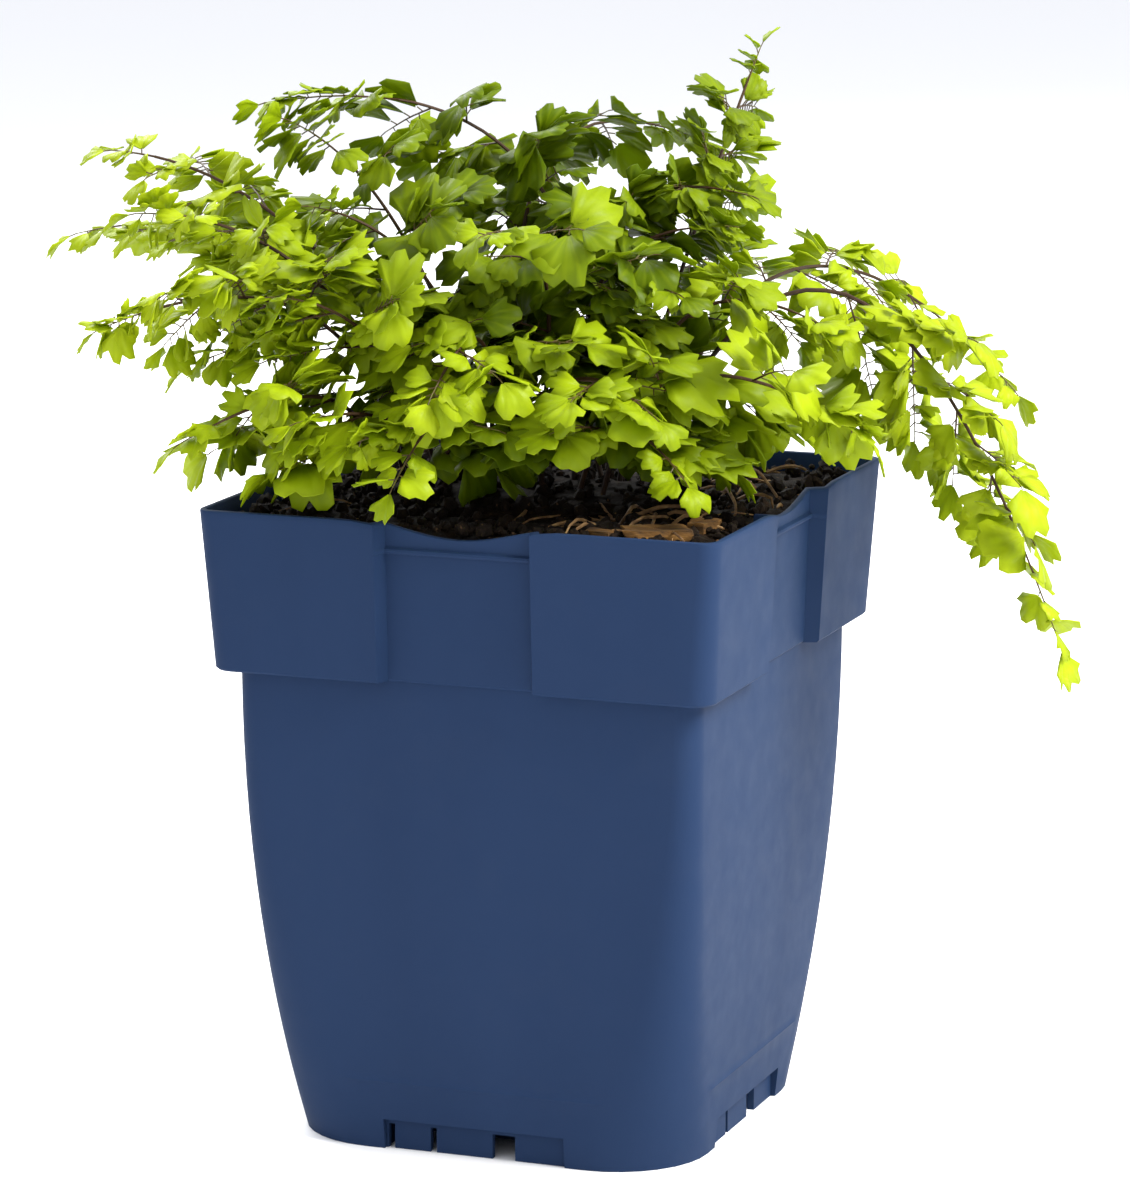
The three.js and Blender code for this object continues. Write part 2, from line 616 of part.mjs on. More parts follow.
// ---------------------------------------------------------------- the part

const materials = {
  pot: new THREE.MeshStandardMaterial({ color: 0x2f4873, roughness: 0.45, metalness: 0 }),
  soil: new THREE.MeshStandardMaterial({ color: 0x2a201b, roughness: 0.95, metalness: 0 }),
  rhizome: new THREE.MeshStandardMaterial({ color: 0x33251a, roughness: 0.9, metalness: 0 }),
  stalk: new THREE.MeshStandardMaterial({ color: 0x2b1d17, roughness: 0.4, metalness: 0 }),
  leaf: new THREE.MeshStandardMaterial({ color: 0x86b814, roughness: 0.55, metalness: 0 }),
  bark: new THREE.MeshStandardMaterial({ color: 0x8a5a2c, roughness: 0.85, metalness: 0 }),
  straw: new THREE.MeshStandardMaterial({ color: 0x8d744c, roughness: 0.8, metalness: 0 }),
};

const group = new THREE.Group();

function addPart(name, solid, material) {
  const mesh = new THREE.Mesh(geometryOf(solid), material);
  mesh.name = name;
  group.add(mesh);
}

const pot = makePot();
const soil = makeSoil();
const rhizome = makeRhizome();
addPart("pot", pot, materials.pot);
addPart("potting_mix", soil, materials.soil);
addPart("rhizome", rhizome, materials.rhizome);

const chips = CHIPS.map(makeChip);
chips.forEach((chip, i) => addPart(`bark_chip_${i + 1}`, chip, materials.bark));
const dryStalks = DRY_STALKS.map(makeDryStalk);
dryStalks.forEach((stalk, i) => addPart(`dry_stalk_${i + 1}`, stalk, materials.straw));

const ground = [pot, soil, rhizome, ...chips, ...dryStalks].map(known);
const blades = FRONDS.map(startFrond);
const stalks = blades.map(({ stalk }) => stalk);

FRONDS.forEach((frond, i) => {
  const blade = blades[i];
  const rest = blades.filter((other) => other !== blade);
  const neighbours = rest.flatMap(({ rachis, sprays }) => [rachis, ...sprays]);
  blade.others = [...ground, ...stalks, ...neighbours];
  growBlade(blade, frond, 1000 * (i + 1));
  const grown = [blade.rachis, ...blade.sprays].map(({ solid }) => solid);
  const label = String(i + 1).padStart(2, "0");
  addPart(`frond_${label}_stalk`, blade.stalk.solid, materials.stalk);
  addPart(`frond_${label}_blade`, wasm.Manifold.union(grown), materials.leaf);
});

export default group;
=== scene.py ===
"""A young maidenhair fern in a square nursery pot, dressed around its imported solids.

The fronds' lines, side branches and leaflets come from the same rules as the solids: where the rules
left a choice, each frond's own solid shows which spray grew there, and a short one grows where the
solid has none. Lengths are in metres; values that are given in millimetres are multiplied by MM. The
origin is the centre of the pot's underside.
"""
import math
import random

import bmesh
import bpy
from mathutils import Matrix, Quaternion, Vector, kdtree, noise


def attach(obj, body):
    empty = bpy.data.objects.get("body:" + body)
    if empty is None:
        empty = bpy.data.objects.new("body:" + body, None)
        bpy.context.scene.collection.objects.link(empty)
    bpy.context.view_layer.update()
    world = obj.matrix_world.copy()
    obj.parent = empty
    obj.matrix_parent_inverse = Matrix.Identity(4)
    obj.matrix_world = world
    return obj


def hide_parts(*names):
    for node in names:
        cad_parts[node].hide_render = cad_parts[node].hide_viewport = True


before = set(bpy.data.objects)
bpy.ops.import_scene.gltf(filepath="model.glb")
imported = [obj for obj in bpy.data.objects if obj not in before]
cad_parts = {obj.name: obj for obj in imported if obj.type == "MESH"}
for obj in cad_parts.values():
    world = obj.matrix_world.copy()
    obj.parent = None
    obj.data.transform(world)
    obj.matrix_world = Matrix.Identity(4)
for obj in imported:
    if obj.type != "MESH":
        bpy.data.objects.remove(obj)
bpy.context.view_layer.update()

MM = 0.001
UP = Vector((0, 0, 1))

# -------- sizes shared with the solids

POT_HEIGHT = 108 * MM
RIM_WIDTH = 90 * MM
RIM_CORNER = 3 * MM
COLLAR_HEIGHT = 27 * MM
COLLAR_FOOT_WIDTH = 87 * MM
COLLAR_CORNER = 4 * MM
BODY_WIDTH = 80.6 * MM
BASE_WIDTH = 71 * MM
BASE_CORNER = 16 * MM
BODY_CURVE = 2
CORNER_CURVE = 2.2
WALL = 1.2 * MM
FLOOR = 1.5 * MM
GRIP_WIDTH = 25 * MM
GRIP_FLARE = 1 * MM
GRIP_INSET = 2.4 * MM
GRIP_LEAN = 0.9 * MM
GRIP_LIP = 0.7 * MM
GRIP_LIP_BELOW_RIM = 5.2 * MM
SCOOP_WIDTH = 38 * MM
SCOOP_DEPTH = 2.8 * MM
FOOT_WIDTH = 32 * MM
FOOT_HEIGHT = 5.2 * MM
FOOT_SETBACK = 0.8 * MM
CHANNEL_HEIGHT = 4.2 * MM
CHANNEL_DEPTH = 10 * MM
DRAIN_LENGTH = 14 * MM
DRAIN_WIDTH = 4 * MM
# Where along the foot each gap is, and its width.
FOOT_GAPS = ((-15 * MM, 1.1 * MM), (-7.5 * MM, 1.1 * MM), (5 * MM, 4 * MM))
CLEARANCE = 0.3 * MM
SOIL_BELOW_RIM = 3.5 * MM
SOIL_CROWN = 1.5 * MM
SOIL_MOUND_FOOT = 39.5 * MM
SOIL_MOUND_TOP = 34 * MM  # further in than the solid's, so the mound rises more gently

RIM_HALF = RIM_WIDTH / 2
COLLAR_FOOT_HALF = COLLAR_FOOT_WIDTH / 2
COLLAR_FOOT_Z = POT_HEIGHT - COLLAR_HEIGHT
SOIL_EDGE_Z = POT_HEIGHT - SOIL_BELOW_RIM
SOIL_TOP_Z = SOIL_EDGE_Z + SOIL_CROWN

# -------- small helpers


def mix(low, high, share):
    return low + (high - low) * share


def clamp(value, low, high):
    return max(low, min(high, value))


def smooth(value):
    """An S-shaped step from 0 to 1."""
    value = clamp(value, 0, 1)
    return value * value * (3 - 2 * value)


def chance(seed):
    """A repeatable number from 0 to 1 for a seed, the same as the solids use."""
    x = math.sin(seed * 12.9898) * 43758.5453
    return x - math.floor(x)


def linked(name, data):
    """A new object in the scene."""
    made = bpy.data.objects.new(name, data)
    bpy.context.scene.collection.objects.link(made)
    return made


def mesh_object(bm, name):
    """A bmesh as an object in the scene."""
    mesh = bpy.data.meshes.new(name)
    bm.to_mesh(mesh)
    bm.free()
    return linked(name, mesh)


def object_from(bm, name, material, nodes, smooth_below=40):
    """Makes a bmesh a finished piece that rides on the pot and stands for its nodes."""
    for face in bm.faces:
        face.smooth = True
    for edge in bm.edges:
        edge.smooth = not edge.is_manifold or edge.calc_face_angle(0) < math.radians(smooth_below)
    piece = mesh_object(bm, name)
    piece.data.materials.append(material)
    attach(piece, "root")
    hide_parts(*nodes)
    return piece


# -------- materials


class Finish:
    """A material with a Principled shader, and short calls that add the nodes feeding it."""

    def __init__(self, name, roughness, specular=0.5):
        self.material = bpy.data.materials.new(name)
        self.material.use_nodes = True
        self.nodes = self.material.node_tree.nodes
        self.links = self.material.node_tree.links
        self.shader = self.nodes["Principled BSDF"]
        self.shader.inputs["Roughness"].default_value = roughness
        self.shader.inputs["Specular IOR Level"].default_value = specular
        self.place = self.nodes.new("ShaderNodeTexCoord").outputs["Object"]

    def noise(self, scale, detail=4, roughness=0.55, stretch=None):
        """A noise pattern over the piece's own place, per metre, stretched per axis if asked."""
        texture = self.nodes.new("ShaderNodeTexNoise")
        texture.inputs["Scale"].default_value = scale
        texture.inputs["Detail"].default_value = detail
        texture.inputs["Roughness"].default_value = roughness
        source = self.place
        if stretch:
            mapping = self.nodes.new("ShaderNodeMapping")
            mapping.inputs["Scale"].default_value = stretch
            self.links.new(self.place, mapping.inputs["Vector"])
            source = mapping.outputs["Vector"]
        self.links.new(source, texture.inputs["Vector"])
        return texture.outputs["Fac"]

    def ramp(self, value, *stops):
        """A colour or grey for each value: stops are (position, colour) or (position, grey)."""
        ramp = self.nodes.new("ShaderNodeValToRGB")
        elements = ramp.color_ramp.elements
        while len(elements) < len(stops):
            elements.new(0.5)
        for element, (position, colour) in zip(elements, stops):
            element.position = position
            element.color = (*colour, 1) if isinstance(colour, tuple) else (colour, colour, colour, 1)
        self.links.new(value, ramp.inputs["Fac"])
        return ramp.outputs["Color"]

    def blend(self, share, first, second):
        """Two colours mixed by a share, which is an output or a number."""
        node = self.nodes.new("ShaderNodeMix")
        node.data_type = "RGBA"
        for socket, value in ((node.inputs[0], share), (node.inputs[6], first), (node.inputs[7], second)):
            self.feed(socket, value)
        return node.outputs[2]

    def feed(self, socket, value):
        if isinstance(value, bpy.types.NodeSocket):
            self.links.new(value, socket)
        elif isinstance(value, tuple):
            socket.default_value = (*value, 1)
        else:
            socket.default_value = value

    def attribute(self, name):
        node = self.nodes.new("ShaderNodeAttribute")
        node.attribute_name = name
        return node

    def colour(self, value):
        self.feed(self.shader.inputs["Base Color"], value)

    def roughness(self, value):
        self.feed(self.shader.inputs["Roughness"], value)

    def relief(self, value, depth, strength=1.0):
        """Small relief from a pattern, with its depth in metres."""
        bump = self.nodes.new("ShaderNodeBump")
        bump.inputs["Strength"].default_value = strength
        bump.inputs["Distance"].default_value = depth
        self.links.new(value, bump.inputs["Height"])
        self.links.new(bump.outputs["Normal"], self.shader.inputs["Normal"])
        return bump.outputs["Normal"]


SOFT_SHEEN_IOR = 1.15  # under the plastic's own, so the sides stay dark in pale surroundings
LEAF_GLOW = 0.36  # the share of a leaf's light that comes through it


def navy_plastic():
    """Satin navy polypropylene: faint flow marks down the sides, fine grain and a little dust."""
    finish = Finish("navy_plastic", roughness=0.6, specular=0.5)
    navy, lighter_navy = (0.0125, 0.027, 0.068), (0.0145, 0.031, 0.077)
    dust_colour = (0.03, 0.042, 0.075)
    finish.shader.inputs["IOR"].default_value = SOFT_SHEEN_IOR
    flow = finish.noise(26, detail=3, stretch=(1, 1, 0.12))
    base = finish.ramp(flow, (0.3, navy), (0.7, lighter_navy))
    dust = finish.ramp(finish.noise(60, detail=6, roughness=0.7), (0.55, 0.0), (0.8, 0.12))
    finish.colour(finish.blend(dust, base, dust_colour))
    finish.roughness(finish.ramp(finish.noise(220, detail=5), (0.3, 0.56), (0.7, 0.66)))
    finish.relief(finish.noise(2600, detail=2), 0.00002, 0.5)
    return finish.material


def peat():
    """Dark damp potting mix, from near black to brown, with paler flecks."""
    finish = Finish("peat", roughness=0.9, specular=0.1)
    near_black, dark, brown = (0.003, 0.0022, 0.0018), (0.011, 0.0068, 0.0042), (0.035, 0.02, 0.011)
    fleck = (0.09, 0.052, 0.026)
    grain = finish.noise(420, detail=8, roughness=0.7)
    base = finish.ramp(grain, (0.3, near_black), (0.55, dark), (0.75, brown))
    flecks = finish.ramp(finish.noise(900, detail=3), (0.66, 0.0), (0.74, 1.0))
    finish.colour(finish.blend(flecks, base, fleck))
    finish.roughness(finish.ramp(grain, (0.3, 0.7), (0.7, 0.97)))
    finish.relief(grain, 0.0008)
    return finish.material


def rootstock():
    """A rhizome under dark brown scales."""
    finish = Finish("rootstock", roughness=0.9, specular=0.08)
    near_black, dark, brown = (0.003, 0.002, 0.0015), (0.012, 0.007, 0.004), (0.04, 0.022, 0.011)
    scales = finish.noise(700, detail=5, stretch=(1, 0.35, 1))
    finish.colour(finish.ramp(scales, (0.3, near_black), (0.6, dark), (0.8, brown)))
    finish.relief(scales, 0.0006)
    return finish.material


def wiry_stalk():
    """A dark wiry stalk that turns greener where the stem attribute runs towards the tip."""
    finish = Finish("wiry_stalk", roughness=0.5, specular=0.25)
    foot, middle, tip = (0.014, 0.006, 0.004), (0.05, 0.024, 0.008), (0.12, 0.12, 0.012)
    streak = (0.07, 0.035, 0.012)
    tone = finish.attribute("stem").outputs["Fac"]
    along = finish.ramp(tone, (0.0, foot), (0.6, middle), (1.0, tip))
    grain = finish.noise(1500, detail=3, stretch=(1, 1, 0.2))
    finish.colour(finish.blend(finish.ramp(grain, (0.4, 0.0), (0.7, 0.5)), along, streak))
    finish.roughness(finish.ramp(grain, (0.3, 0.42), (0.7, 0.6)))
    finish.relief(grain, 0.00004)
    return finish.material


def fresh_leaf():
    """Thin lime-green leaf: each leaflet has its own tone, forked veins run out from its point, and
    light comes through it. The tone also holds painted shade, dark low in the middle of the plant,
    and painted light, lime far out."""
    finish = Finish("fresh_leaf", roughness=0.52, specular=0.16)
    shaded_green, green, lime = (0.1, 0.155, 0.0008), (0.34, 0.45, 0.005), (0.5, 0.6, 0.011)
    blotch_green, vein_green = (0.1, 0.17, 0.0005), (0.36, 0.45, 0.004)
    glow_green = (0.34, 0.46, 0.0005)
    tone = finish.attribute("tone").outputs["Fac"]
    # the ramp's dark end is painted shade and its lime end painted light, over each leaflet's own tone
    base = finish.ramp(tone, (0.0, shaded_green), (0.45, green), (1.0, lime))
    blotch = finish.ramp(finish.noise(160, detail=4), (0.4, 0.0), (0.75, 0.4))
    base = finish.blend(blotch, base, blotch_green)
    veins = finish.nodes.new("ShaderNodeTexWave")
    veins.inputs["Scale"].default_value = 1.6
    veins.inputs["Distortion"].default_value = 0.6
    veins.inputs["Detail"].default_value = 1
    finish.links.new(finish.attribute("fan").outputs["Vector"], veins.inputs["Vector"])
    vein_lines = finish.ramp(veins.outputs["Fac"], (0.55, 0.0), (1.0, 0.18))
    finish.colour(finish.blend(vein_lines, base, vein_green))
    finish.roughness(finish.ramp(veins.outputs["Fac"], (0.3, 0.42), (0.8, 0.56)))
    normal = finish.relief(veins.outputs["Fac"], 0.00004, 0.45)
    glow = finish.nodes.new("ShaderNodeBsdfTranslucent")
    finish.links.new(finish.blend(0.5, base, glow_green), glow.inputs["Color"])
    finish.links.new(normal, glow.inputs["Normal"])
    both = finish.nodes.new("ShaderNodeMixShader")
    both.inputs["Fac"].default_value = LEAF_GLOW
    finish.links.new(finish.shader.outputs["BSDF"], both.inputs[1])
    finish.links.new(glow.outputs["BSDF"], both.inputs[2])
    finish.links.new(both.outputs["Shader"], finish.nodes["Material Output"].inputs["Surface"])
    return finish.material


def orange_bark():
    """A flake of bark: rust-brown, layered and split."""
    finish = Finish("orange_bark", roughness=0.85, specular=0.3)
    crack, rust, ochre = (0.02, 0.01, 0.003), (0.12, 0.055, 0.01), (0.26, 0.13, 0.03)
    layers = finish.noise(420, detail=6, roughness=0.65, stretch=(0.4, 1, 2.2))
    finish.colour(finish.ramp(layers, (0.3, crack), (0.55, rust), (0.78, ochre)))
    finish.relief(layers, 0.0005)
    return finish.material


def dry_straw():
    """A dead stalk or root fibre, dull brown to straw."""
    finish = Finish("dry_straw", roughness=0.75, specular=0.3)
    brown, tan, straw = (0.06, 0.028, 0.012), (0.2, 0.11, 0.045), (0.38, 0.24, 0.1)
    fibres = finish.noise(500, detail=5)
    finish.colour(finish.ramp(fibres, (0.3, brown), (0.55, tan), (0.8, straw)))
    finish.relief(fibres, 0.0001)
    return finish.material


NAVY = navy_plastic()
PEAT = peat()
ROOTSTOCK = rootstock()
STALK = wiry_stalk()
LEAF = fresh_leaf()
BARK = orange_bark()
STRAW = dry_straw()

# -------- pot

ARC_STEPS = 8  # round a corner
FACE_STEPS = 10  # across a recess's face
OUTER_STEPS = 8  # from a recess to the corner
BODY_ROWS = 16
BODY_CROWDING = 1.3  # above 1, the body's rows stand closer towards the foot, where it curves
INNER_ROWS = 8
BEAD_HEIGHT = 12 * MM
BEAD_SIZE = 0.3 * MM
BEAD_SPREAD = 0.6 * MM
BEAD_CLEAR = 1.5 * BEAD_SPREAD  # no other row stands this near the bead
BEAD_FADE = 3 * MM  # the bead dies out over this much of the flat, next to a corner
EDGE = 0.35 * MM  # the rounding of the rim and of the collar's foot
EDGE_MIDDLE = 0.3 * EDGE  # how far a rounded edge's middle stands in from its corner
LIP_PROFILE = ((-0.7, 0), (-0.5, 0.85), (0, 1), (0.5, 0.85), (0.9, 0))  # up and out, per GRIP_LIP
COLLAR_ROWS = 4  # over the lip
CRISP = 0.25 * MM  # how near a recess's edge its neighbouring columns stand
BENDING_FROM = POT_HEIGHT - GRIP_LIP_BELOW_RIM + 2 * GRIP_LIP  # the rim's dip fades out down to here


def body_at(z):
    """Half the body's outer width and its corner radius at a height."""
    down = clamp(1 - z / COLLAR_FOOT_Z, 0, 1)
    half = BODY_WIDTH / 2 - (BODY_WIDTH - BASE_WIDTH) / 2 * down**BODY_CURVE
    return half, COLLAR_CORNER + (BASE_CORNER - COLLAR_CORNER) * down**CORNER_CURVE


def collar_at(z):
    up = (z - COLLAR_FOOT_Z) / COLLAR_HEIGHT
    return mix(COLLAR_FOOT_HALF, RIM_HALF, up), mix(COLLAR_CORNER, RIM_CORNER, up)


def grip_inset_at(z):
    """How far the recess's face stands in from the collar, which leans out more than it does."""
    up = (z - COLLAR_FOOT_Z) / COLLAR_HEIGHT
    return GRIP_INSET + up * (RIM_HALF - COLLAR_FOOT_HALF - GRIP_LEAN)


def columns(straight, grow):
    """Places along a side's straight part, with pairs that keep the recess's edges crisp."""
    inner = GRIP_WIDTH / 2 + grow
    face = [mix(-inner + CRISP, inner - CRISP, i / FACE_STEPS) for i in range(FACE_STEPS + 1)]
    start = inner + GRIP_FLARE + CRISP
    outer = [mix(start, straight, i / OUTER_STEPS) for i in range(OUTER_STEPS + 1)]
    right = [inner, inner + GRIP_FLARE] + outer
    return [-x for x in reversed(right)] + face + right


def in_grip(across, grow):
    """1 on the recess's face, 0 beside it, and a steep slope between."""
    return clamp((GRIP_WIDTH / 2 + grow + GRIP_FLARE - abs(across)) / GRIP_FLARE, 0, 1)


def rim_dip(place):
    """How far the dips in the rim lower a place on the wall."""
    across, z = min(abs(place.x), abs(place.y)), place.z
    share = clamp(across / SCOOP_WIDTH + 0.5, 0, 1)
    fade = clamp((z - BENDING_FROM) / (POT_HEIGHT - BENDING_FROM), 0, 1)
    return fade * SCOOP_DEPTH * math.sin(math.pi * share) ** 2


def level(z, half, radius, inset=0.0, lip=0.0, bead=0.0, grow=0.0):
    """The places round one level of the wall, a rounded square. Each side is pushed in by inset and
    out by lip at its recess, and out by bead along its flat."""
    straight = half - radius
    places = []
    for side in range(4):
        turn = Matrix.Rotation(side * math.pi / 2, 3, "Z")
        for across in columns(straight, grow):
            out = half - (inset - lip) * in_grip(across, grow)
            out += bead * smooth((straight - abs(across)) / BEAD_FADE)
            places.append(turn @ Vector((across, -out, z)))
        for step in range(1, ARC_STEPS):
            angle = step / ARC_STEPS * math.pi / 2
            x = straight + radius * math.sin(angle)
            y = -straight - radius * math.cos(angle)
            places.append(turn @ Vector((x, y, z)))
    return places


def body_levels():
    """Up the outside of the body, with a fine bead near the foot."""
    heights = [COLLAR_FOOT_Z * (i / BODY_ROWS) ** BODY_CROWDING for i in range(BODY_ROWS + 1)]
    heights = [z for z in heights if abs(z - BEAD_HEIGHT) > BEAD_CLEAR]
    heights += [BEAD_HEIGHT + k * BEAD_SPREAD for k in (-1, 0, 1)]
    return [level(z, *body_at(z), bead=BEAD_SIZE if z == BEAD_HEIGHT else 0) for z in sorted(heights)]


def collar_levels():
    """Out under the collar and up its outside, with the lip across each recess."""
    half, radius = collar_at(COLLAR_FOOT_Z)
    levels = [level(COLLAR_FOOT_Z, half - EDGE, radius - EDGE, inset=grip_inset_at(COLLAR_FOOT_Z))]
    lip_z = POT_HEIGHT - GRIP_LIP_BELOW_RIM
    rows = [(COLLAR_FOOT_Z + EDGE, 0.0), (mix(COLLAR_FOOT_Z, lip_z, 0.5), 0.0)]
    rows += [(lip_z + up * GRIP_LIP, out * GRIP_LIP) for up, out in LIP_PROFILE]
    for i in range(1, COLLAR_ROWS + 1):
        rows.append((mix(BENDING_FROM, POT_HEIGHT - EDGE, i / COLLAR_ROWS), 0.0))
    return levels + [level(z, *collar_at(z), inset=grip_inset_at(z), lip=lip) for z, lip in rows]


def rim_levels():
    """Over the rim, with rounded edges."""
    half, radius = collar_at(POT_HEIGHT)
    rows = [(EDGE_MIDDLE, EDGE_MIDDLE), (0, EDGE)]
    rows += [(0, WALL - EDGE), (EDGE_MIDDLE, WALL - EDGE_MIDDLE), (EDGE, WALL)]
    inset = grip_inset_at(POT_HEIGHT)
    return [level(POT_HEIGHT - down, half - by, radius - by, inset=inset, grow=by) for down, by in rows]


def inner_levels():
    """Down the inside to the floor, which stands over the foot's channels."""
    levels = []
    for z in (BENDING_FROM, mix(COLLAR_FOOT_Z, POT_HEIGHT, 0.5), COLLAR_FOOT_Z + WALL):
        half, radius = collar_at(z)
        levels.append(level(z, half - WALL, radius - WALL, inset=grip_inset_at(z), grow=WALL))
    for i in range(INNER_ROWS + 1):
        z = mix(COLLAR_FOOT_Z + WALL, CHANNEL_HEIGHT + FLOOR, i / INNER_ROWS)
        half, radius = body_at(z)
        levels.append(level(z, half - WALL, radius - WALL, grow=WALL))
    return levels


def edges_round(bm, verts):
    """The edges that join vertices in order, and the last to the first."""
    return [bm.edges.get((first, second)) for first, second in zip(verts, verts[1:] + verts[:1])]


def next_ring(bm, verts, places):
    """Extrudes a ring of vertices to new places, and returns the new ring in the same order."""
    made = set(bmesh.ops.extrude_edge_only(bm, edges=edges_round(bm, verts))["geom"])
    ring = []
    for vert, place in zip(verts, places):
        ends = [edge.other_vert(vert) for edge in vert.link_edges]
        ring.append(next(end for end in ends if end in made))
        ring[-1].co = place
    return ring


def box_into(bm, width, depth, height, x, y, z):
    """Adds a box with its middle at a place, four times: once for each side of the pot."""
    for side in range(4):
        turn = Matrix.Rotation(side * math.pi / 2, 4, "Z")
        size = Matrix.Diagonal((width, depth, height, 1))
        bmesh.ops.create_cube(bm, size=1, matrix=turn @ Matrix.Translation((x, y, z)) @ size)


def foot_cutters():
    """The foot's set-backs and channels, then the gaps and drain slots that go through them. Each
    cutter overshoots what it cuts."""
    skirt = BASE_WIDTH / 2 - FOOT_SETBACK - WALL
    set_back = 3 * FOOT_SETBACK
    hollows = bmesh.new()
    face = -BASE_WIDTH / 2 + FOOT_SETBACK - set_back / 2
    box_into(hollows, FOOT_WIDTH, set_back, 2 * FOOT_HEIGHT, 0, face, 0)
    middle = -skirt + CHANNEL_DEPTH / 2
    box_into(hollows, FOOT_WIDTH, CHANNEL_DEPTH, 2 * CHANNEL_HEIGHT, 0, middle, 0)
    slots = bmesh.new()
    for at, width in FOOT_GAPS:
        box_into(slots, width, 4 * WALL, 2 * CHANNEL_HEIGHT, at, -skirt, 0)
    box_into(slots, DRAIN_LENGTH, DRAIN_WIDTH, 4 * FLOOR, 0, middle, CHANNEL_HEIGHT + FLOOR)
    return hollows, slots


def cut_away(bm, cutters):
    """A bmesh with other bmeshes cut out of it, one after the other."""
    body = mesh_object(bm, "uncut")
    tools = [mesh_object(cutter, "cutter") for cutter in cutters]
    for tool in tools:
        cut = body.modifiers.new("cut", "BOOLEAN")
        cut.operation = "DIFFERENCE"
        cut.solver = "EXACT"
        cut.object = tool
    result = bmesh.new()
    result.from_object(body, bpy.context.evaluated_depsgraph_get())
    for made in (body, *tools):
        bpy.data.objects.remove(made)
    return result


def make_pot():
    bm = bmesh.new()
    levels = body_levels() + collar_levels() + rim_levels() + inner_levels()
    ring = bmesh.ops.create_circle(bm, segments=len(levels[0]), radius=BASE_WIDTH / 2)["verts"]
    for vert, place in zip(ring, levels[0]):
        vert.co = place
    bottom = edges_round(bm, ring)
    for places in levels[1:]:
        ring = next_ring(bm, ring, places)
    for end in (bottom, edges_round(bm, ring)):
        bmesh.ops.contextual_create(bm, geom=end)
    for vert in bm.verts:
        vert.co.z -= rim_dip(vert.co)
    bmesh.ops.recalc_face_normals(bm, faces=bm.faces)
    object_from(cut_away(bm, foot_cutters()), "nursery_pot", NAVY, ["pot"], smooth_below=33)


# -------- mix, rhizome and litter

MIX_CELLS = 88
MIX_BOTTOM = CHANNEL_HEIGHT + FLOOR + CLEARANCE
MIX_LEVELS = (50 * MM, 22 * MM, MIX_BOTTOM)  # where the mix's sides follow the pot's curve
MOUND = 0.85  # the mound's height, as a share of the solid's
LUMP_PATTERN, LUMP_SHARE = 160, 0.8  # per metre, and its share of the unevenness
GRAIN_PATTERN, GRAIN_SHARE = 420, 0.5
UNEVENNESS = 0.8  # in millimetres


def fitted(x, y, half, radius, recess):
    """A place in plan brought inside a rounded square with a recess in the middle of each side."""
    x = clamp(x, -half, half)
    y = clamp(y, -half, half)
    over_x = abs(x) - (half - radius)
    over_y = abs(y) - (half - radius)
    reach = math.hypot(over_x, over_y)
    if over_x > 0 and over_y > 0 and reach > radius:
        x = math.copysign(half - radius + over_x * radius / reach, x)
        y = math.copysign(half - radius + over_y * radius / reach, y)
    grip = GRIP_WIDTH / 2 + WALL + CLEARANCE
    slope = recess / GRIP_FLARE
    if recess and abs(x) < abs(y):
        y = math.copysign(min(abs(y), half - recess + max(0, abs(x) - grip) * slope), y)
    elif recess:
        x = math.copysign(min(abs(x), half - recess + max(0, abs(y) - grip) * slope), x)
    return x, y


def mix_height(x, y):
    """The mix's surface: flat near the wall, crowned in the middle, and lumpy all over."""
    crown = smooth((SOIL_MOUND_FOOT - max(abs(x), abs(y))) / (SOIL_MOUND_FOOT - SOIL_MOUND_TOP))
    lumps = noise.noise(Vector((x, y, 0)) * LUMP_PATTERN) * LUMP_SHARE
    lumps += noise.noise(Vector((x, y, 1)) * GRAIN_PATTERN) * GRAIN_SHARE
    return SOIL_EDGE_Z + MOUND * SOIL_CROWN * crown + UNEVENNESS * lumps * MM


def inner_size(z, at):
    half, radius = at(z)
    return half - WALL - CLEARANCE, radius - WALL


def make_mix():
    bm = bmesh.new()
    half, radius = inner_size(SOIL_EDGE_Z, collar_at)
    recess = grip_inset_at(SOIL_EDGE_Z)
    bmesh.ops.create_grid(bm, x_segments=MIX_CELLS, y_segments=MIX_CELLS, size=half)
    for vert in bm.verts:
        x, y = fitted(vert.co.x, vert.co.y, half, radius, recess)
        vert.co = (x, y, mix_height(x, y))
    shoulder = COLLAR_FOOT_Z + WALL + CLEARANCE
    levels = [(shoulder, inner_size(shoulder, collar_at), recess)]
    levels += [(z, inner_size(z, body_at), 0) for z in (shoulder, *MIX_LEVELS)]
    rim = [edge for edge in bm.edges if edge.is_boundary]
    for z, (half, radius), recess in levels:
        made = bmesh.ops.extrude_edge_only(bm, edges=rim)["geom"]
        for vert in (v for v in made if isinstance(v, bmesh.types.BMVert)):
            vert.co = (*fitted(vert.co.x, vert.co.y, half, radius, recess), z)
        rim = [edge for edge in made if isinstance(edge, bmesh.types.BMEdge) and edge.is_boundary]
    bmesh.ops.contextual_create(bm, geom=rim)
    bmesh.ops.recalc_face_normals(bm, faces=bm.faces)
    object_from(bm, "potting_mix_bed", PEAT, ["potting_mix"], smooth_below=70)


CRUMBS = 1300
CRUMB_REACH = 41 * MM
CRUMB_SIZES = (0.5, 1.9)  # in millimetres
CRUMB_BIAS = 2.5  # the higher, the more of them are small
CRUMB_NARROWEST = 0.6  # width and thickness as shares of length
CRUMB_THICKNESS = 0.7
CRUMB_ROUGHNESS = 0.35
CRUMB_PATTERN = 900  # per metre


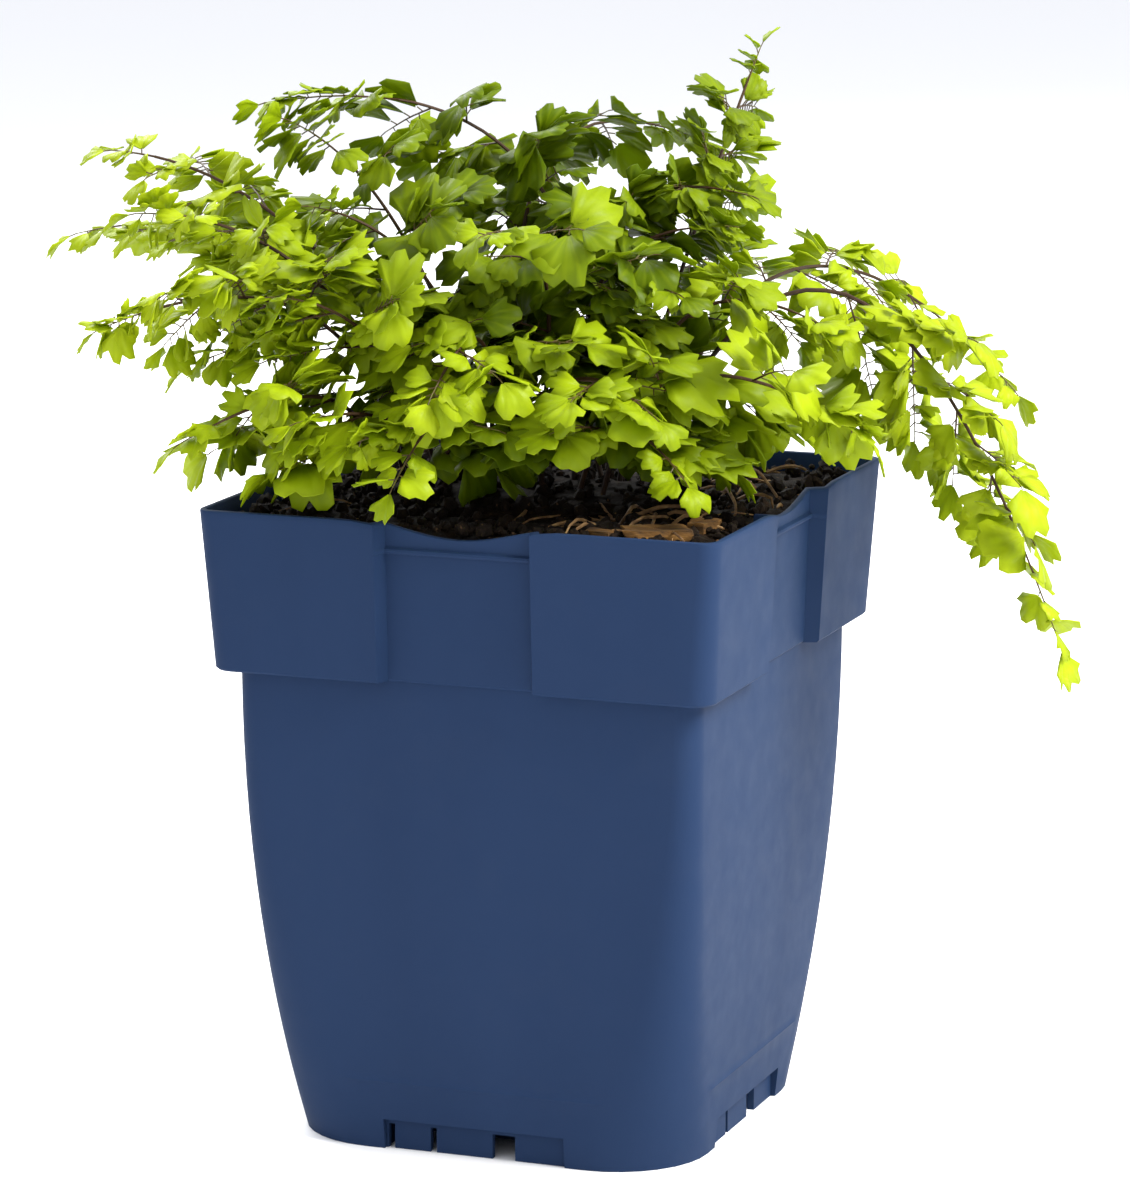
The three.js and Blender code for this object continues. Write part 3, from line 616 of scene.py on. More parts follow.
def crumb_into(bm, place, size, seed):
    """Adds a rough crumb."""
    turn = Quaternion((chance(seed) - 0.5, chance(seed + 1) - 0.5, chance(seed + 2) - 0.5, 0.4)).normalized()
    width = size * mix(CRUMB_NARROWEST, 1, chance(seed + 3))
    size_matrix = Matrix.Diagonal((size, width, size * CRUMB_THICKNESS, 1))
    matrix = Matrix.Translation(place) @ turn.to_matrix().to_4x4() @ size_matrix
    verts = bmesh.ops.create_icosphere(bm, subdivisions=1, radius=1, matrix=matrix)["verts"]
    for vert in verts:
        vert.co += (vert.co - place) * CRUMB_ROUGHNESS * noise.noise(vert.co * CRUMB_PATTERN)


def tube_into(bm, points, radii, sides=6, layer=None, values=None):
    """Adds a closed tube through points, with a radius at each and, if asked, a value on its vertices."""
    rings = []
    for i, (point, radius) in enumerate(zip(points, radii)):
        along = points[min(i + 1, len(points) - 1)] - points[max(i - 1, 0)]
        matrix = Matrix.Translation(point) @ along.to_track_quat("Z", "Y").to_matrix().to_4x4()
        verts = bmesh.ops.create_circle(bm, segments=sides, radius=radius, matrix=matrix)["verts"]
        for vert in verts if layer else []:
            vert[layer] = values[i]
        rings.append(list(dict.fromkeys(edge for vert in verts for edge in vert.link_edges)))
    for low, high in zip(rings, rings[1:]):
        bmesh.ops.bridge_loops(bm, edges=low + high)
    for end in (rings[0], rings[-1]):
        bmesh.ops.contextual_create(bm, geom=end)


RHIZOME_AT = Vector((-5 * MM, -2 * MM, 0))
RHIZOME_LENGTH = 62 * MM
RHIZOME_WIDTH = 46 * MM
RHIZOME_HEIGHT = 3 * MM
RHIZOME_FIT = 0.97  # its size without the knobs, as a share of the solid's
RHIZOME_SUNK = -0.35  # how far its flat underside lies below the mix, as a share of its height


def rhizome_height(x, y):
    """The dome's height above the mix at a place in plan."""
    across = 2 * (x - RHIZOME_AT.x) / RHIZOME_LENGTH
    along = 2 * (y - RHIZOME_AT.y) / RHIZOME_WIDTH
    return RHIZOME_HEIGHT * math.sqrt(max(0, 1 - across**2 - along**2))


def make_crumbs(draw):
    """Loose crumbs over the mix."""
    bm = bmesh.new()
    for i in range(CRUMBS):
        x, y = draw.uniform(-CRUMB_REACH, CRUMB_REACH), draw.uniform(-CRUMB_REACH, CRUMB_REACH)
        x, y = fitted(x, y, CRUMB_REACH, RIM_CORNER, grip_inset_at(SOIL_EDGE_Z))
        size = mix(*CRUMB_SIZES, draw.random() ** CRUMB_BIAS) * MM
        ground = max(mix_height(x, y), SOIL_TOP_Z + rhizome_height(x, y))
        crumb_into(bm, Vector((x, y, ground + 0.2 * size)), size, 10 * i)
    object_from(bm, "mix_crumbs", PEAT, ["potting_mix"], smooth_below=25)


FIBRES = 70
FIBRES_AT_RIGHT = 0.75  # the share of them that start there
FIBRE_REACH = 40.5 * MM
FIBRE_LIFT = 0.2 * MM
# Ranges, in millimetres but for the bend, which is in radians.
FIBRE_AT_RIGHT = (14, 39)
FIBRE_ANYWHERE = (-38, 38)
FIBRE_ALONG = (-36, 30)
FIBRE_LENGTHS = (5, 16)
FIBRE_ARCHES = (0, 2.2)
FIBRE_BENDS = (-0.9, 0.9)
FIBRE_RADII = (0.12, 0.34)
FIBRE_TAPER = (1, 1, 1, 1, 0.8, 0.4)


def make_fibres(draw):
    """Dead roots and straw on the mix, most of them at the right."""
    bm = bmesh.new()
    steps = len(FIBRE_TAPER) - 1
    for _ in range(FIBRES):
        across = FIBRE_AT_RIGHT if draw.random() < FIBRES_AT_RIGHT else FIBRE_ANYWHERE
        x = draw.uniform(*across) * MM
        y = draw.uniform(*FIBRE_ALONG) * MM
        heading = draw.uniform(0, math.tau)
        length = draw.uniform(*FIBRE_LENGTHS) * MM
        arch = draw.uniform(*FIBRE_ARCHES) * MM
        bend = draw.uniform(*FIBRE_BENDS)
        points = []
        for k in range(steps + 1):
            share = k / steps
            x += math.cos(heading + bend * share) * length / steps
            y += math.sin(heading + bend * share) * length / steps
            x, y = fitted(x, y, FIBRE_REACH, RIM_CORNER, GRIP_INSET)
            height = mix_height(x, y) + FIBRE_LIFT + arch * math.sin(math.pi * share)
            points.append(Vector((x, y, height)))
        radius = draw.uniform(*FIBRE_RADII) * MM
        tube_into(bm, points, [radius * taper for taper in FIBRE_TAPER], sides=5)
    bmesh.ops.recalc_face_normals(bm, faces=bm.faces)
    object_from(bm, "mix_fibres", STRAW, ["potting_mix"])


def make_rhizome():
    """A low scaly crown that the stalks stand on."""
    bm = bmesh.new()
    bmesh.ops.create_uvsphere(bm, u_segments=120, v_segments=60, radius=1)
    for vert in bm.verts:
        knobs = noise.noise(vert.co * 9) * 0.16 + noise.noise(vert.co * 22) * 0.08
        swell = RHIZOME_FIT + 0.3 * knobs
        x = RHIZOME_AT.x + vert.co.x * RHIZOME_LENGTH / 2 * swell
        y = RHIZOME_AT.y + vert.co.y * RHIZOME_WIDTH / 2 * swell
        z = max(vert.co.z, RHIZOME_SUNK) * RHIZOME_HEIGHT * (1 + knobs)
        vert.co = (x, y, SOIL_TOP_Z + z)
    object_from(bm, "rhizome_crown", ROOTSTOCK, ["rhizome"], smooth_below=60)


# Each chip: its place in plan, its length, width and thickness, and its turn in degrees. Each dry
# stalk: its two ends in plan and how high it arches. Lengths are in millimetres.
CHIPS = (
    ((31, -33), (11, 6, 2.2), 25),
    ((35, -22), (6, 4, 1.8), 80),
    ((22, -35), (5, 3.5, 1.6), -15),
)
DRY_STALKS = (
    ((28, 8), (37, -12), 2.5),
    ((26, 17), (38, 7), 3.5),
    ((22, -19), (32, -12), 1.5),
)
CHIP_CUTS = 9
CHIP_SUNK = 0.4 * MM
CHIP_CORNERS = 0.16  # how much narrower it is at its corners
DRY_STALK_RADIUS = 0.4 * MM
DRY_STALK_STEPS = 12
DRY_STALK_TAPER = 0.6
WANDER_PATTERN = 3  # how often a dry stalk wanders along its length


def make_chip(number, at, size, turn):
    """A flake of bark: a slab with rough faces and broken edges."""
    bm = bmesh.new()
    bmesh.ops.create_cube(bm, size=1)
    bmesh.ops.subdivide_edges(bm, edges=bm.edges, cuts=CHIP_CUTS, use_grid_fill=True)
    rotation = Matrix.Rotation(math.radians(turn), 3, "Z")
    middle = Vector((at[0] * MM, at[1] * MM, SOIL_TOP_Z + size[2] / 2 * MM - CHIP_SUNK))
    for vert in bm.verts:
        corner = 1 - CHIP_CORNERS * abs(vert.co.x * vert.co.y * 4)
        shape = Vector((vert.co.x * size[0], vert.co.y * size[1] * corner, vert.co.z * size[2])) * MM
        shape *= 0.94 + 0.22 * noise.noise(shape * 350 + Vector((number, 0, 0)))
        shape.z += 0.25 * MM * noise.noise(Vector((shape.x * 90, shape.y * 700, number)))
        vert.co = middle + rotation @ shape
    object_from(bm, f"bark_flake_{number}", BARK, [f"bark_chip_{number}"], smooth_below=35)


def make_dry_stalk(number, start, end, arch):
    bm = bmesh.new()
    points = []
    radii = []
    for k in range(DRY_STALK_STEPS + 1):
        share = k / DRY_STALK_STEPS
        x, y = mix(start[0], end[0], share) * MM, mix(start[1], end[1], share) * MM
        rise = arch * MM * math.sin(math.pi * share)
        along = share * WANDER_PATTERN
        wander = [noise.noise(Vector((along, number, layer))) for layer in (0, 5)]
        height = SOIL_TOP_Z + CLEARANCE + DRY_STALK_RADIUS + rise
        points.append(Vector((x, y, height)) + Vector((*wander, 0)) * MM)
        radii.append(DRY_STALK_RADIUS * mix(1, DRY_STALK_TAPER, share))
    tube_into(bm, points, radii)
    bmesh.ops.recalc_face_normals(bm, faces=bm.faces)
    object_from(bm, f"dead_stalk_{number}", STRAW, [f"dry_stalk_{number}"])


# -------- growth

GROWTH = 1
STALK_RADIUS = 0.6 * MM
LEAFLET_THICKNESS = 0.4 * MM
FROND_STEPS = 24
ARC_DIVISIONS = 200
FIRST_BRANCH = 0.04
BRANCH_ANGLE = math.radians(62)
BRANCH_DROOP = 0.16
BRANCH_PITCH = 0.68
BRANCH_TAPER = 0.8
SHORTEST_BRANCH = 1.1
LAST_BRANCH = 0.95
LAST_TIP = 0.9
SPRAY_BARE = 0.18
LEAFLET_PITCH = 0.72
LEAFLET_REACH = 0.62
LEAFLET_LEAN = 0.4
LEAFLET_TILT = 0.4
LEAFLET_NEAR = 0.1
LEAFLET_FAR = 0.75
LEAFLET_FAR_REACH = 0.9
END_LEAFLET = ((0.45, -0.4), (0.8, -0.12), (0.7, 0.3))
SHRINK_TO_TIP = 0.3
SMALLEST_LEAFLET = 0.8
LARGEST_LEAFLET = 1.15
OTHER_ROLLS = (0, 25, -25, 50, -50)
OTHER_LENGTHS = (1, 0.7, 0.45)

# Each frond: foot on the rhizome (x, y), the point it is drawn towards and its tip (plan direction in
# degrees, distance from the axis, height above the mix), all in millimetres; then the bare share, the
# longest side branch, a leaflet's width and the blade's roll in degrees.
FRONDS = (
    ((-16, 6), (197, 41, 56), (194, 74, 57), 0.42, 28, 9.5, -8),
    ((-20, -1), (219, 38, 50), (212, 69, 49), 0.35, 30, 9.5, 15),
    ((-13, 12), (174, 43, 52), (179, 88, 40), 0.42, 24, 8.5, 5),
    ((-24, -6), (236, 39, 49), (222, 78, 32), 0.35, 26, 9, 35),
    ((-27, -12), (241, 38, 31), (225, 66, 13), 0.3, 26, 11, 30),
    ((6, 10), (85, 23, 74), (203, 47, 66), 0.35, 20, 11, 30),
    ((-10, 2), (195, 24, 55), (214, 44, 64), 0.35, 26, 11, 35),
    ((-9, -5), (233, 17, 46), (228, 44, 51), 0.25, 30, 10.5, 35),
    ((-17, -8), (244, 34, 36), (238, 56, 38), 0.2, 30, 10, 25),
    ((-18, -15), (252, 33, 22), (243, 55, 18), 0.15, 28, 10.5, 25),
    ((-6, -12), (273, 24, 45), (267, 47, 23), 0.2, 30, 12, 0),
    ((0, -7), (322, 10, 52), (274, 38, 48), 0.25, 30, 12, 10),
    ((6, -4), (329, 8, 43), (332, 32, 37), 0.25, 28, 11, -20),
    ((4, -14), (287, 24, 34), (312, 46, 20), 0.2, 30, 12, -10),
    ((10, -12), (314, 24, 24), (319, 46, 9), 0.2, 26, 11, -10),
    ((-12, -17), (268, 37, 29), (262, 52, 9), 0.15, 26, 11, 0),
    ((-5, 9), (149, 26, 79), (66, 45, 54), 0.42, 18, 10, -25),
    ((10, 7), (46, 27, 45), (52, 42, 73), 0.45, 24, 8, -60),
    ((4, 3), (120, 15, 59), (24, 34, 50), 0.35, 24, 10, -10),
    ((9, 1), (145, 5, 46), (9, 31, 46), 0.3, 26, 10, -10),
    ((13, -1), (16, 17, 46), (6, 49, 29), 0.25, 28, 11, -30),
    ((15, 8), (63, 50, 62), (41, 86, 13), 0.42, 16, 9, 20),
    ((17, -2), (31, 50, 78), (14, 86, -24), 0.4, 26, 10.5, -35),
    ((14, -12), (322, 31, 38), (350, 59, 15), 0.2, 28, 13, -35),
)


def around_axis(heading, out, up):
    turn = math.radians(heading)
    plan = Vector((math.cos(turn), math.sin(turn), 0)) * (GROWTH * out * MM)
    return plan + UP * (SOIL_TOP_Z + GROWTH * up * MM)


def spaced_curve(start, bend, tip):
    """Points the same distance apart along the curve from start to tip that is drawn towards bend."""

    def at(t):
        return start * (1 - t) ** 2 + bend * (2 * t * (1 - t)) + tip * t**2

    dots = [at(i / ARC_DIVISIONS) for i in range(ARC_DIVISIONS + 1)]
    lengths = [0.0]
    for first, second in zip(dots, dots[1:]):
        lengths.append(lengths[-1] + (second - first).length)
    points = []
    k = 0
    for step in range(FROND_STEPS + 1):
        wanted = lengths[-1] * step / FROND_STEPS
        while k < ARC_DIVISIONS - 1 and lengths[k + 1] < wanted:
            k += 1
        share = (wanted - lengths[k]) / (lengths[k + 1] - lengths[k])
        points.append(at((k + share) / ARC_DIVISIONS))
    return points


def frond_line(foot, bend, tip):
    """From a foot on the rhizome to the tip. A stalk that leans stands a little higher."""
    x, y = foot[0] * MM, foot[1] * MM
    start = Vector((x, y, SOIL_TOP_Z + CLEARANCE + rhizome_height(x, y) + CLEARANCE))
    towards = (around_axis(*bend) - start).normalized()
    start.z += STALK_RADIUS * math.hypot(towards.x, towards.y)
    return spaced_curve(start, around_axis(*bend), around_axis(*tip))


def length_of(line):
    return (len(line) - 1) * (line[1] - line[0]).length


def on_line(line, share):
    """The point at a share of a line's length and the line's direction there. It goes on past the end."""
    place = share * (len(line) - 1)
    k = int(clamp(math.floor(place), 0, len(line) - 2))
    step = line[k + 1] - line[k]
    return line[k] + step * (place - k), step.normalized()


def stretch(line, low, high, steps):
    return [on_line(line, mix(low, high, i / steps))[0] for i in range(steps + 1)]


def spray_frame(along, roll):
    """A spray's sideways and upper directions where it runs along a direction."""
    sideways = UP.cross(along).normalized()
    sideways.rotate(Quaternion(along, math.radians(roll)))
    return sideways, along.cross(sideways)


def branch_line(point, along, side, length, roll):
    """A side branch that leaves a frond at a point and droops towards its end."""
    sideways, _ = spray_frame(along, roll)
    direction = along * math.cos(BRANCH_ANGLE) + sideways * (side * math.sin(BRANCH_ANGLE))
    middle = point + direction * (length / 2) - UP * (BRANCH_DROOP * length / 4)
    end = point + direction * length - UP * (BRANCH_DROOP * length)
    return [point, middle, end]


def spray_leaflets(length, leaf, seed):
    """The leaflets of a spray laid flat along +X: (side, start, pitch, width, tilt) for each."""
    bare = SPRAY_BARE * length
    count = max(1, round_half_up((length - bare) / (leaf * LEAFLET_PITCH)))
    pitch = (length - bare) / count
    leaflets = []
    for side in (-1, 1):
        first = max(bare - pitch / 2, bare / 2) if side > 0 else bare
        for i in range(count):
            own = seed + 2 * i + (1 if side > 0 else 0)
            width = leaf * mix(SMALLEST_LEAFLET, LARGEST_LEAFLET, chance(own))
            tilt = LEAFLET_TILT * (2 * chance(own + 0.5) - 1)
            leaflets.append((side, first + i * pitch, pitch, width, tilt))
    return leaflets


def round_half_up(value):
    return math.floor(value + 0.5)


def spray_corners(length, leaf, leaflets):
    """The free corners of a spray's flat outline: (x, y, tilt) for each."""
    corners = [(length + beyond * leaf, across * leaf, 0) for beyond, across in END_LEAFLET]
    for side, start, pitch, width, tilt in leaflets:
        x = start + LEAFLET_LEAN * leaf
        reach = side * LEAFLET_REACH * width
        corners.append((x + LEAFLET_NEAR * pitch, reach, tilt))
        corners.append((x + LEAFLET_FAR * pitch, reach * LEAFLET_FAR_REACH, -tilt / 2))
    return corners


def on_spray(line, roll, x, y, height):
    """The place in space of a place on a flat spray."""
    point, along = on_line(line, x / length_of(line))
    sideways, upper = spray_frame(along, roll)
    return point + sideways * y + upper * height


MATCH = 0.02 * MM  # how near a solid's vertex has to be to a corner
ENOUGH = 0.75  # the share of corners that shows which spray grew
SHORT_SPRAY = 0.6  # the length of one that the solid has none of, as a share of its full length
FROND_SEED = 1000  # the same seeds as the solids'
SPRAY_SEED = 20
TIP_STEPS = 3


def matches(solid, line, roll, leaf, leaflets):
    """The share of a spray's corners that a frond's solid has."""
    found = 0
    corners = spray_corners(length_of(line), leaf, leaflets)
    for x, y, tilt in corners:
        place = on_spray(line, roll, x, y, tilt * abs(y) + LEAFLET_THICKNESS / 2)
        found += solid.find(place)[2] < MATCH
    return found / len(corners)


def find_spray(solid, line_of, roll, leaf, seed):
    """The spray that grew in the solid, of the rolls and lengths it could have, or else a short one."""
    choices = [(part, roll + more) for part in OTHER_LENGTHS for more in OTHER_ROLLS]
    for part, rolled in choices + [(SHORT_SPRAY, roll)]:
        line = line_of(part)
        leaflets = spray_leaflets(length_of(line), leaf, seed)
        if matches(solid, line, rolled, leaf, leaflets) >= ENOUGH:
            break
    return dict(line=line, roll=rolled, leaf=leaf, leaflets=leaflets, seed=seed)


def corners_of(node):
    """A tree of a solid's vertices, to look places up in."""
    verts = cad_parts[node].data.vertices
    tree = kdtree.KDTree(len(verts))
    for i, vert in enumerate(verts):
        tree.insert(vert.co, i)
    tree.balance()
    return tree


def grow_frond(number, foot, bend, tip, bare, span, leaf, roll):
    """A frond's line, where its rachis ends, and its sprays."""
    line = frond_line(foot, bend, tip)
    blade_length = length_of(line) * (1 - bare)
    solid = corners_of(f"frond_{number:02}_blade")
    seed = FROND_SEED * number
    places = []
    share, side = FIRST_BRANCH, 1
    while True:
        length = GROWTH * span * MM * (1 - share) ** BRANCH_TAPER
        here = leaf * MM * (1 - SHRINK_TO_TIP * share)
        if length < SHORTEST_BRANCH * here or share > LAST_BRANCH:
            break
        places.append((share, side, length, here))
        share += BRANCH_PITCH * here / blade_length
        side = -side
    tip_share = mix(bare, 1, min(share, LAST_TIP))
    last_leaf = leaf * MM * (1 - SHRINK_TO_TIP)

    def tip_line(part):
        return stretch(line, tip_share, mix(tip_share, 1, part), TIP_STEPS)

    sprays = [find_spray(solid, tip_line, roll, last_leaf, seed)]
    for k, (share, side, length, here) in enumerate(places):
        point, along = on_line(line, mix(bare, 1, share))

        def side_line(part, point=point, along=along, side=side, length=length):
            return branch_line(point, along, side, part * length, roll)

        sprays.append(find_spray(solid, side_line, roll, here, seed + SPRAY_SEED * (k + 1)))
    return line, tip_share, sprays


# -------- leaflets and stems

FAN_COLUMNS = 10  # across a leaflet, and along it
FAN_ROWS = 2
FAN_HALF_ANGLE = math.radians(50)
FAN_SIZE = 0.68  # a leaflet's length, as a share of its width in the solids
FANS_PER_LOBE = 3  # leaflets that stand for one of the solids' broad lobes
FAN_POINT = 0.07  # how wide its point is, as a share of its length
CORNER_ROUNDING = 0.3  # how far its edge falls short at both corners
NOTCH = 0.18  # how deep an edge's notches are, and how ragged it is, as shares of its length
RAGGED = 0.1
CUPS = (-0.1, 0.34)  # how much a leaflet curves up across, and down along
DROOPS = (0.05, 0.5)
RIPPLE = 0.04
FACES_OUT = 0.5  # pulls on the way a leaflet faces, against a pull of 1 upwards
FACES_ASTRAY = 1.25
LEANS = (0.2, 0.7)  # towards the spray's end
SINKS = (-0.35, 0.6)
SHEET = 0.16 * MM  # its thickness
STALKLET = 1.0 * MM  # a leaflet's own stalk, and how far it runs into the leaflet
STALKLET_OVERLAP = 0.3 * MM
STALK_STEPS = 30
TWIG_STEPS = 5
# A wire's radius, and how far along the stalk's colours it is, at its foot and at its end.
STALK_RADII = (0.5 * MM, 0.24 * MM)
TWIG_RADII = (0.2 * MM, 0.1 * MM)
STALKLET_RADII = (0.11 * MM, 0.11 * MM)
STALK_GREENS = (0, 0.5)
TWIG_GREENS = (0.35, 0.95)
TIP_TWIG_GREENS = (0.5, 0.95)
STALKLET_GREENS = (0.5, 0.9)
LONGEST_REACH = 85 * MM
APART_FROM = 0.92  # where along the reach the leaflets begin to stand apart
FAR_LEAFLET = 1.4  # how much larger they are there
INNER_LEAFLET = 1.32  # and in the middle
SIZE_SPREAD = (0.7, 1.2)
PAINTED_SHADE_HEIGHT = 25 * MM  # painted shade: leaflets less than this above the rim are darker
FROND_TONES = (-0.32, -0.12)  # a frond's own share of its leaflets' tone, which runs from dark to lime
# painted light outwards and painted shade low in the middle, in the leaflets' tone
PAINTED_LIGHT_OUTWARDS = 1.3
PAINTED_SHADE_LOW = 0.3
TONE_SPREAD = 0.35
LIGHTEST_TONE = 0.85


def edge_reach(column, seed):
    """How far a leaflet's outer edge reaches at a column: rounded corners and two or three notches."""
    share = abs(2 * column / FAN_COLUMNS - 1)
    rounded = 1 - CORNER_ROUNDING * share**4
    notch_every = 3 + round(chance(seed + 7))
    notched = (column + int(3 * chance(seed + 8))) % notch_every == 0 and 0 < column < FAN_COLUMNS
    return rounded - (NOTCH if notched else 0) + RAGGED * (chance(seed + 9 + column) - 0.5)


def leaflet_into(bm, uv, tone_layer, base, out, upper, size, seed, tone):
    """Adds a thin lobed fan that grows from base towards out and faces upper."""
    across = out.cross(upper).normalized()
    cup = mix(*CUPS, chance(seed + 3))
    droop = mix(*DROOPS, chance(seed + 4))
    verts = bmesh.ops.create_grid(bm, x_segments=FAN_COLUMNS, y_segments=FAN_ROWS, size=1)["verts"]
    flat = {}
    for vert in verts:
        u, v = (vert.co.x + 1) / 2, (vert.co.y + 1) / 2
        flat[vert] = (u, v)
        column = round(u * FAN_COLUMNS)
        angle = mix(-FAN_HALF_ANGLE, FAN_HALF_ANGLE, u)
        reach = size * mix(FAN_POINT, edge_reach(column, seed), v)
        side, ahead = reach * math.sin(angle), reach * math.cos(angle)
        height = cup * side * side / size - droop * ahead * ahead / size
        height += RIPPLE * size * v * math.sin(column * 2.1 + seed)
        vert.co = base + across * side + out * ahead + upper * height
        vert[tone_layer] = tone
    for face in dict.fromkeys(face for vert in verts for face in vert.link_faces):
        for loop in face.loops:
            loop[uv].uv = flat[loop.vert]


def faced(out, place, seed):
    """The way a leaflet faces: square to the way it grows, up and away from the plant's axis."""
    outward = Vector((place.x, place.y, 0)).normalized()
    stray = Vector((chance(seed + 1) - 0.5, chance(seed + 2) - 0.5, chance(seed + 11) - 0.5))
    goal = UP + outward * FACES_OUT + stray * FACES_ASTRAY
    return (goal - out * goal.dot(out)).normalized()


def reach_out(place):
    """How far out from the pot's axis a place is: 0 in the middle, 1 near the longest fronds' ends."""
    return math.hypot(place.x, place.y) / LONGEST_REACH


def leaf_places(spray):
    """Where each leaflet of a spray grows: (place on the twig, out, upper, size, seed). The leaflets
    stand apart at the far ends of the longest fronds, and are larger there."""
    line, roll, seed = spray["line"], spray["roll"], spray["seed"]
    length = length_of(line)
    places = []
    for i, (side, start, pitch, width, tilt) in enumerate(spray["leaflets"]):
        for k in range(FANS_PER_LOBE):
            own = seed + 31 * (i + 1) + 0.37 * k
            point, along = on_line(line, (start + (k + 0.4) / FANS_PER_LOBE * pitch) / length)
            apart = reach_out(point) > APART_FROM
            if apart and k != 1:
                continue
            sideways, upper = spray_frame(along, roll)
            lean = mix(*LEANS, chance(own))
            sink = mix(*SINKS, chance(own + 12))
            out = (sideways * side + along * lean + upper * tilt - UP * sink).normalized()
            grown = FAR_LEAFLET if apart else mix(INNER_LEAFLET, 1, reach_out(point))
            size = FAN_SIZE * width * grown * mix(*SIZE_SPREAD, chance(own + 5) ** 1.5)
            places.append((point, out, faced(out, point, own), size, own))
    point, along = on_line(line, 1)
    out = (along - UP * 0.2).normalized()
    grown = FAR_LEAFLET if reach_out(point) > APART_FROM else 1
    places.append((point, out, faced(out, point, seed), FAN_SIZE * grown * spray["leaf"], seed + 17))
    return places


def leaflet_tone(point, frond_tone, seed):
    """From 0 for a dark leaflet low in the middle to 1 for a lime one far out. The leaflets get darker
    towards the middle and low down as painted shade, and lighter outwards as painted light; the frond's
    share and the spread are the leaflets' own tone.
    """
    reach = clamp(reach_out(point), 0, 1)
    low = clamp(1 - (point.z - POT_HEIGHT) / PAINTED_SHADE_HEIGHT, 0, 1)
    tone = frond_tone + PAINTED_LIGHT_OUTWARDS * reach - PAINTED_SHADE_LOW * low * (1 - reach)
    return clamp(tone + TONE_SPREAD * (chance(seed + 6) - 0.5), 0, LIGHTEST_TONE)


def wire_into(bm, stem, points, radii, sides, greens):
    """Adds a wire through points, whose radius and stem value run from the first given to the last."""
    last = len(points) - 1
    values = [mix(*greens, k / last) for k in range(last + 1)]
    tube_into(bm, points, [mix(*radii, k / last) for k in range(last + 1)], sides, stem, values)


def make_frond(number, row):
    line, tip_share, sprays = grow_frond(number, *row)
    label = f"frond_{number:02}"
    wires = bmesh.new()
    stem = wires.verts.layers.float.new("stem")
    points = stretch(line, 0, tip_share, STALK_STEPS)
    wire_into(wires, stem, points, STALK_RADII, 7, STALK_GREENS)
    leaves = bmesh.new()
    uv = leaves.loops.layers.uv.new("fan")
    tone_layer = leaves.verts.layers.float.new("tone")
    frond_tone = mix(*FROND_TONES, chance(77 * number))
    for spray in sprays:
        points = stretch(spray["line"], 0, 1, TWIG_STEPS)
        greens = TIP_TWIG_GREENS if spray is sprays[0] else TWIG_GREENS
        wire_into(wires, stem, points, TWIG_RADII, 5, greens)
        for point, out, upper, size, seed in leaf_places(spray):
            base = point + out * STALKLET
            points = [point, base + out * STALKLET_OVERLAP]
            wire_into(wires, stem, points, STALKLET_RADII, 4, STALKLET_GREENS)
            tone = leaflet_tone(point, frond_tone, seed)
            leaflet_into(leaves, uv, tone_layer, base, out, upper, size, seed, tone)
    bmesh.ops.recalc_face_normals(wires, faces=wires.faces)
    object_from(wires, f"{label}_wires", STALK, [f"{label}_stalk"])
    blade = object_from(leaves, f"{label}_leaflets", LEAF, [f"{label}_blade"], smooth_below=80)
    thickness = blade.modifiers.new("thickness", "SOLIDIFY")
    thickness.thickness = SHEET
    thickness.offset = 0


# -------- everything

make_pot()
make_mix()
litter = random.Random(7)
make_crumbs(litter)
make_fibres(litter)
make_rhizome()
for number, (at, size, turn) in enumerate(CHIPS, 1):
    make_chip(number, at, size, turn)
for number, (start, end, arch) in enumerate(DRY_STALKS, 1):
    make_dry_stalk(number, start, end, arch)
for number, row in enumerate(FRONDS, 1):
    make_frond(number, row)

# -------- stage, light and camera

FLOOR_HALF = 6


def make_floor():
    bm = bmesh.new()
    bmesh.ops.create_grid(bm, x_segments=1, y_segments=1, size=FLOOR_HALF)
    floor = mesh_object(bm, "floor")
    finish = Finish("pale_floor", roughness=0.6, specular=0.2)
    finish.colour((0.93, 0.93, 0.94))
    floor.data.materials.append(finish.material)


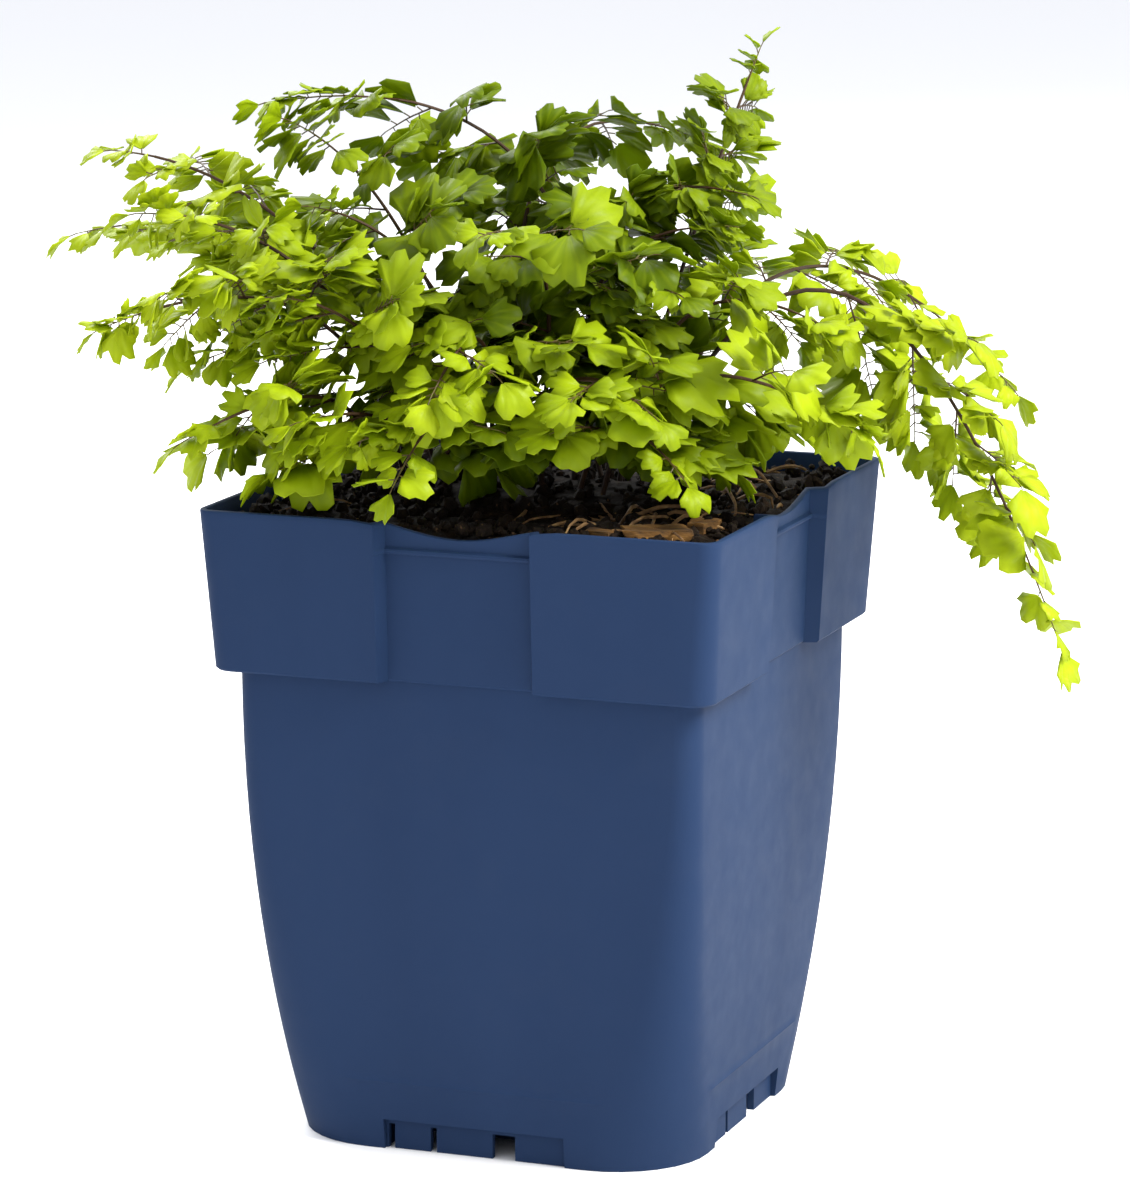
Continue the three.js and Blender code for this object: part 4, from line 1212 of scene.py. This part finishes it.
# Each light: its place to the right, to the front and up from the pot in metres, its width, its power
# in watts and its colour.
LIGHTS = {
    "key": ((0.75, 0.35, 0.85), 0.5, 25, (1.0, 0.98, 0.94)),
    "fill": ((-0.9, 0.8, 0.5), 0.9, 1.5, (0.93, 0.96, 1.0)),
    "back": ((-0.5, -0.9, 0.75), 0.8, 16, (1.0, 1.0, 0.97)),
    "top": ((0, -0.3, 1.2), 0.9, 3, (1.0, 1.0, 1.0)),
}
LIT_PLACE = Vector((0, 0, 110 * MM))


def make_light(name, place, width, power, colour):
    """A square light that faces the plant."""
    data = bpy.data.lights.new(name, "AREA")
    data.size = width
    data.energy = power
    data.color = colour
    light = linked(name, data)
    light.location = place
    light.rotation_euler = (LIT_PLACE - place).to_track_quat("-Z", "Y").to_euler()


def make_world():
    world = bpy.data.worlds.new("studio")
    world.use_nodes = True
    sky = world.node_tree.nodes["Background"]
    sky.inputs["Color"].default_value = (0.93, 0.95, 1.0, 1)
    sky.inputs["Strength"].default_value = 1.0
    bpy.context.scene.world = world
    bpy.context.scene.view_settings.view_transform = "Standard"


CAMERA_TURN = math.radians(20.5)
CAMERA_RISE = math.radians(11.1)
CAMERA_DISTANCE = 873.7 * MM
CAMERA_LENS = 155.2
TARGET_RIGHT = 2.66 * MM
TARGET_HEIGHT = 87.8 * MM


def make_camera():
    """The camera; gives the level directions to its right and towards it."""
    data = bpy.data.cameras.new("camera")
    data.lens = CAMERA_LENS
    camera = linked("camera", data)
    right = Vector((math.cos(CAMERA_TURN), math.sin(CAMERA_TURN), 0))
    front = Vector((math.sin(CAMERA_TURN), -math.cos(CAMERA_TURN), 0))
    back = front * math.cos(CAMERA_RISE) + UP * math.sin(CAMERA_RISE)
    target = right * TARGET_RIGHT + UP * TARGET_HEIGHT
    camera.location = target + back * CAMERA_DISTANCE
    camera.rotation_euler = back.to_track_quat("Z", "Y").to_euler()
    bpy.context.scene.camera = camera
    return right, front


make_floor()
make_world()
to_right, to_front = make_camera()
for name, ((right, front, up), width, power, colour) in LIGHTS.items():
    make_light(name, to_right * right + to_front * front + UP * up, width, power, colour)
